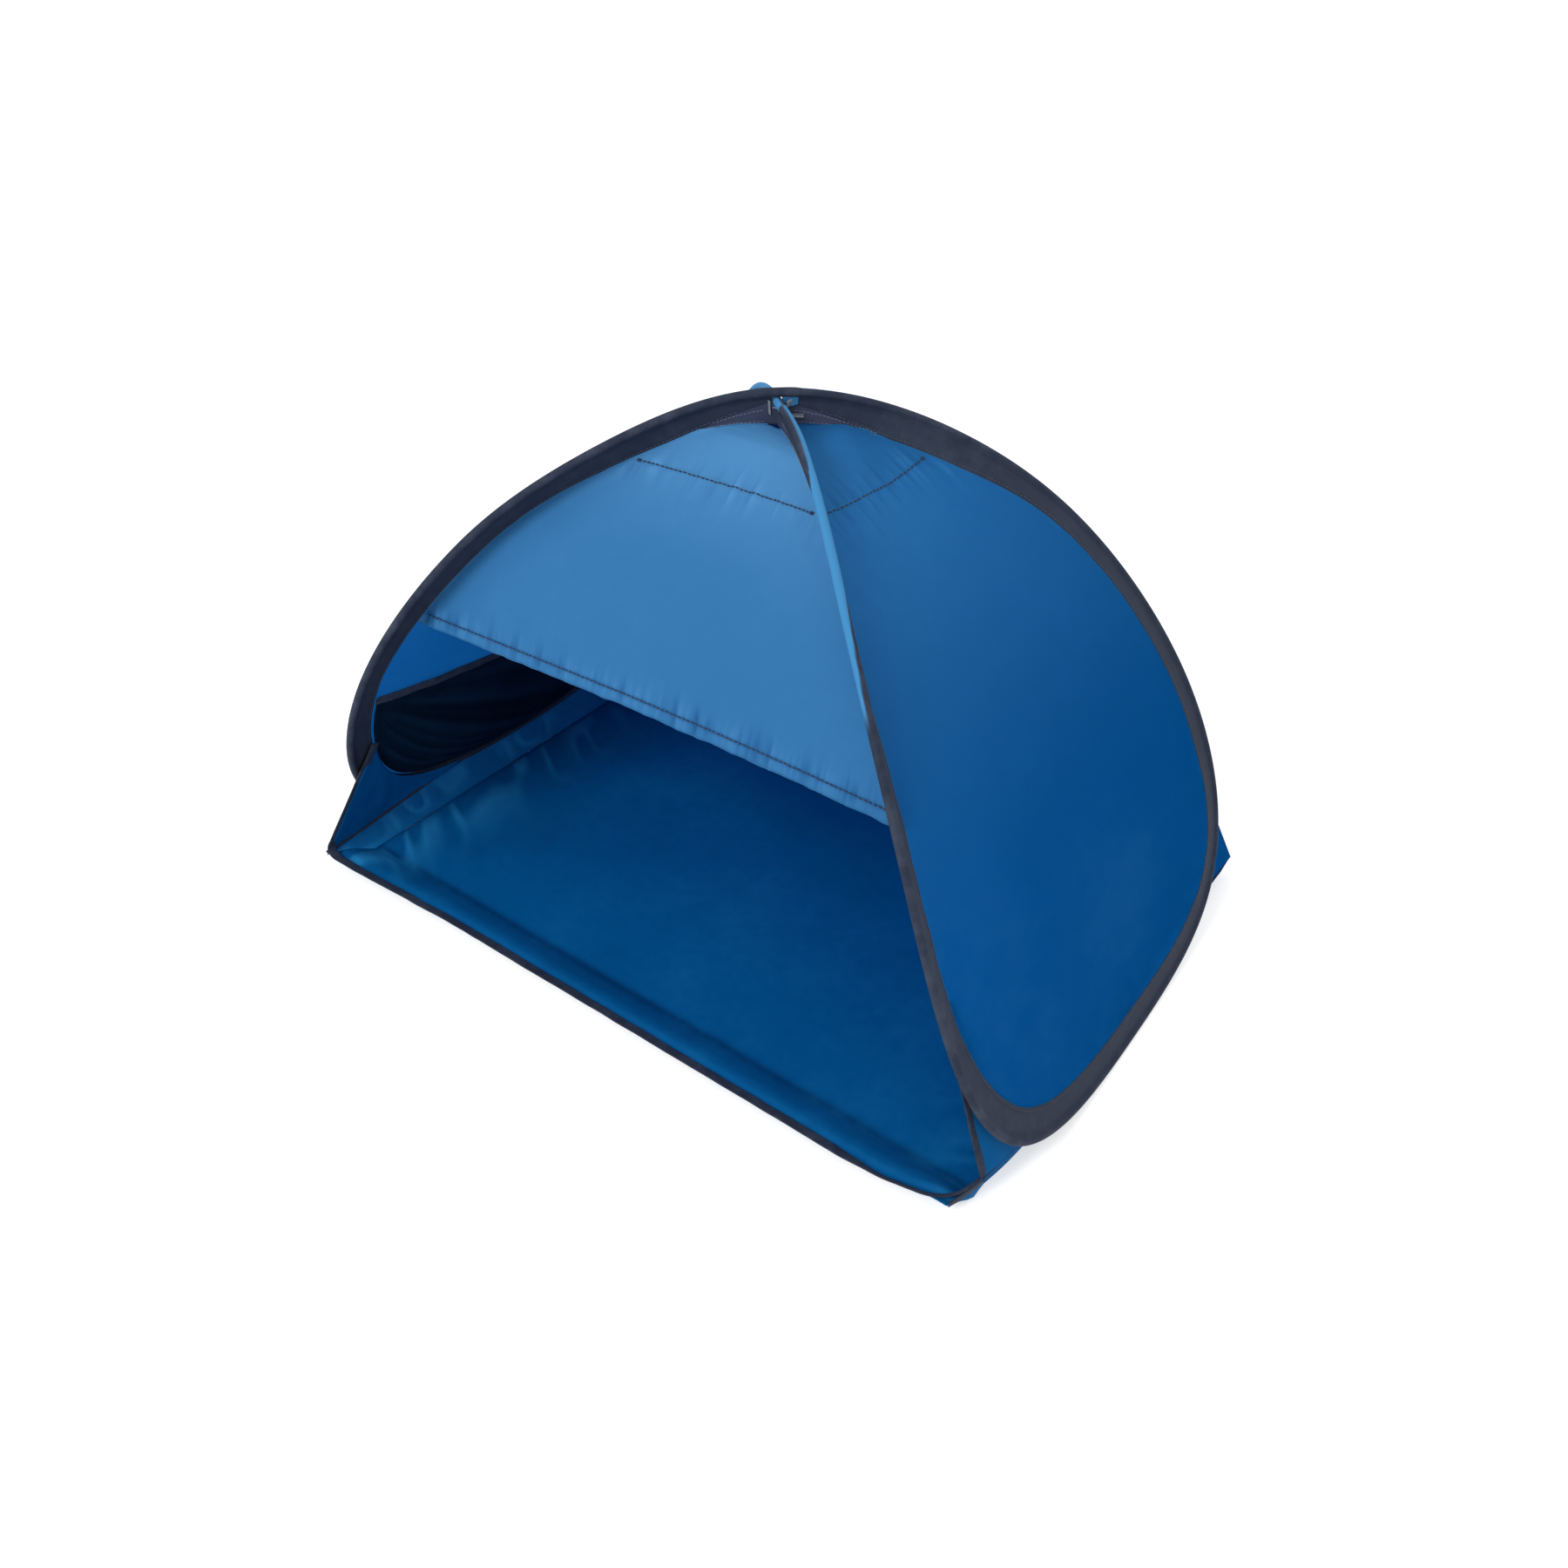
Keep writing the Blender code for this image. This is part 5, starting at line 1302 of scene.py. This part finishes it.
# Binding over the lip's edge, turned at the corners and run up to the ribs
def makeFrontBinding(seed):
    halves, overs, widths = [], [], []
    for side, sign in (("right", 1.0), ("left", -1.0)):
        upper, lower = gussetEdges(side, gussetStart / 2, 0)
        upper = upper[0] + unit(lower[0] - upper[0]) * 0.001
        turn = cornerPoint(side) - lipSlope * binding["width"] / 2
        bend = cornerTurn[side]["bend"]
        isFree = gussetRun[side + "Front"]["foot"] > 0
        end = bend / np.linalg.norm(upper - turn)
        rise = turn + (upper - turn) * np.linspace(1, end, frontBinding["rise"])[:, None]
        if isFree:
            # down the gusset's free edge, then forward along the floor's side to the corner
            low = lower[0] + np.array([-0.0010, 0.0, 0.0])
            down = upper + (low - upper) * np.linspace(0, 1, frontBinding["down"])[:, None]
            end = 1 - bend / np.linalg.norm(turn - low)
            ahead = low + (turn - low) * np.linspace(0, end, frontBinding["ahead"])[1:, None]
            rise = np.vstack([down, ahead])
            for smoothing in range(3):
                rise[1:-1] = (rise[:-2] + 2 * rise[1:-1] + rise[2:]) / 4
        x = np.linspace(turn[0] - bend * 1.4, 0, frontBinding["front"])
        run = frontEdge(sign * x) * flips[side] - lipSlope * binding["width"] / 2
        t = np.linspace(0, 1, frontBinding["arc"])[1:-1, None]
        arc = (1 - t) ** 2 * rise[-1] + 2 * t * (1 - t) * turn + t**2 * run[0]
        halves.append(np.vstack([rise, arc, run]))
        place = np.arange(len(halves[-1]))
        gussetIn = unit(gussetEdges(side, 1.0, 0)[1][0] - footCorner)
        mix = eased((place - len(rise) + 3) / (len(arc) + 6.0))[:, None]
        # narrow where it lies along the floor's side and turns the corner
        narrow = eased((place - 28) / 4) * eased((len(rise) + len(arc) + 22 - place) / 16.0)
        widths.append(1 - (frontBinding["narrower"] if isFree else 0.0) * narrow)
        overs.append(unit(gussetIn * (1 - mix) - lipSlope * mix))
    path, over = (np.vstack([right, (left * flips["left"])[-2::-1]]) for right, left in (halves, overs))
    path[:, 2] += frontBinding["lift"]
    wide = binding["width"] * np.concatenate([widths[0], widths[1][-2::-1]])
    rings = bandRings(path, over, wide, binding["thickness"], binding["wave"], seed)
    rings[..., 2] = np.maximum(rings[..., 2], 0.0003)
    paintedLightAndWear = np.full(rings.shape[:2], frontBinding["paintedLightAndWear"])
    piece = sweptPiece("frontBinding", rings, edgeTape, None, {"paintedLightAndWear": paintedLightAndWear})
    settle(piece, "front_binding", floorSheet["across"])


makeFrontBinding(151)
print("gussets and bindings made")

# Pocket inside the left side, open along its bound top, creased where it hangs
pocket = {
    "front": 0.468, "back": 0.500, "foot": 0.792, "gap": 0.0030, "frontShare": 0.995,
    "backShare": 0.96, "sag": 0.005, "crease": 0.0050, "bindingWidth": 0.009,
    "bindingThickness": 0.0017, "bindingWave": 0.0004,
}


def makePocket(seed):
    v = np.linspace(-pocket["frontShare"], pocket["backShare"], 120)
    # the left side is named front to back, so v = -1 is its front rib
    top = np.interp(v, [-1, 1], [pocket["front"], pocket["back"]])
    t = steps(0, 1, 0.012)
    s = top[None] + (pocket["foot"] - top)[None] * t[:, None]
    rows = np.stack([sideRows("left", s[:, k], v[k:k + 1], 0.0004)[:, 0] for k in range(len(v))], 1)
    over, down = gridRuns(rows)
    inward = unit(np.array([1.0, 0.0, 0.35]))
    sag = np.sin(math.pi * np.clip(t * 1.05, 0, 1))[:, None] * (1 - v[None] ** 2)
    # creases fan out from the top of its front edge, one beyond another
    fromFront, below = over - over[:, :1], down + 0.004
    angle = np.arctan2(below, fromFront + 0.012)
    reach = np.hypot(below, fromFront)
    fan = lineNoise(angle / 0.11, seed) + 0.5 * lineNoise(angle / 0.05, seed + 2)
    fold = pocket["crease"] * fan * np.clip(reach / 0.10, 0, 1) * np.exp(-reach / 0.22)
    fold = fold * eased(t / 0.10)[:, None] * eased((1 - t) / 0.12)[:, None]
    fold = np.abs(fold * eased((1 - np.abs(v)) / 0.08)[None])
    rows = rows + inward * (pocket["gap"] + pocket["sag"] * sag + fold)[..., None]
    # painted sheen on the creases' folds
    piece = gridPiece("sidePocket", rows, pocketCloth, "left_side", inside=(-0.6, 0, 0.1),
                      masks={"paintedLightAndWear": np.clip(fold * 260, 0, 0.8)})
    rings = bandRings(rows[0] + (rows[2] - rows[0]) * 0.3, rows[3] - rows[0], pocket["bindingWidth"],
                      pocket["bindingThickness"], pocket["bindingWave"], seed + 1)
    edging = sweptPiece("pocketBinding", rings, edgeTape, "left_side",
                        {"paintedLightAndWear": np.full(rings.shape[:2], 0.6)})
    settle(piece, "side_pocket")
    settle(edging, "pocket_binding")
    cutCloth(piece, rows)


makePocket(171)
print("pocket made")

# Camera and plain studio light; each lamp has a place, a power and a size
view = {"place": (0.5319, -0.711, 0.7513), "target": (0.0056, 0.0, 0.0985), "lens": 28.854}
light = {
    "ambient": 0.66, "ground": 0.50, "groundHalf": 30.0, "aim": (0, 0, 0.15),
    "lamps": {"keyLamp": ((-0.25, -1.95, 1.85), 27.0, 0.9), "fillLamp": ((1.6, -1.0, 1.1), 4.0, 1.5),
              "rimLamp": ((0.6, 1.6, 1.6), 5.0, 1.2)},
}


# 1 for what the camera sees directly or in a mirror, 0 for the light that falls on things
def seenDirect(tree):
    path = place(tree, "LightPath").outputs
    return calc(tree, "MAXIMUM", path["Is Camera Ray"],
                calc(tree, "MAXIMUM", path["Is Glossy Ray"], path["Is Transmission Ray"]))


def aimed(thing, where, target):
    thing.location = where
    thing.rotation_euler = (Vector(target) - Vector(where)).to_track_quat("-Z", "Y").to_euler()
    bpy.context.scene.collection.objects.link(thing)
    return thing


def makeStage():
    camera = bpy.data.objects.new("camera", bpy.data.cameras.new("camera"))
    camera.data.lens = view["lens"]
    camera.data.sensor_width = 36.0
    camera.data.clip_start = 0.01
    bpy.context.scene.camera = aimed(camera, view["place"], view["target"])
    for name, (where, power, size) in light["lamps"].items():
        lamp = aimed(bpy.data.objects.new(name, bpy.data.lights.new(name, "AREA")), where, light["aim"])
        lamp.data.energy = power
        lamp.data.size = size
    world = bpy.data.worlds.new("studio")
    bpy.context.scene.world = world
    world.use_nodes = True
    tree = world.node_tree
    amount = place(tree, "MapRange", {"Value": seenDirect(tree), "To Min": light["ambient"], "To Max": 1.0})
    feed(tree, tree.nodes["Background"], {"Color": (1, 1, 1, 1), "Strength": amount.outputs[0]})
    size = light["groundHalf"]
    ground = bpy.data.meshes.new("ground")
    ground.from_pydata([(-size, -size, -0.0005), (size, -size, -0.0005), (size, size, -0.0005),
                        (-size, size, -0.0005)], [], [(0, 1, 2, 3)])
    material, tree, shader = newMaterial("paleGround")
    feed(tree, shader, {
        "Base Color": (0.80, 0.80, 0.80, 1), "Roughness": 0.9, "Specular IOR Level": 0.0,
        "Emission Color": (1, 1, 1, 1),
        "Emission Strength": calc(tree, "MULTIPLY", seenDirect(tree), light["ground"]),
    })
    ground.materials.append(material)
    piece = bpy.data.objects.new("ground", ground)
    bpy.context.scene.collection.objects.link(piece)
    bpy.context.scene.view_settings.view_transform = "Standard"


makeStage()
print("stage set")
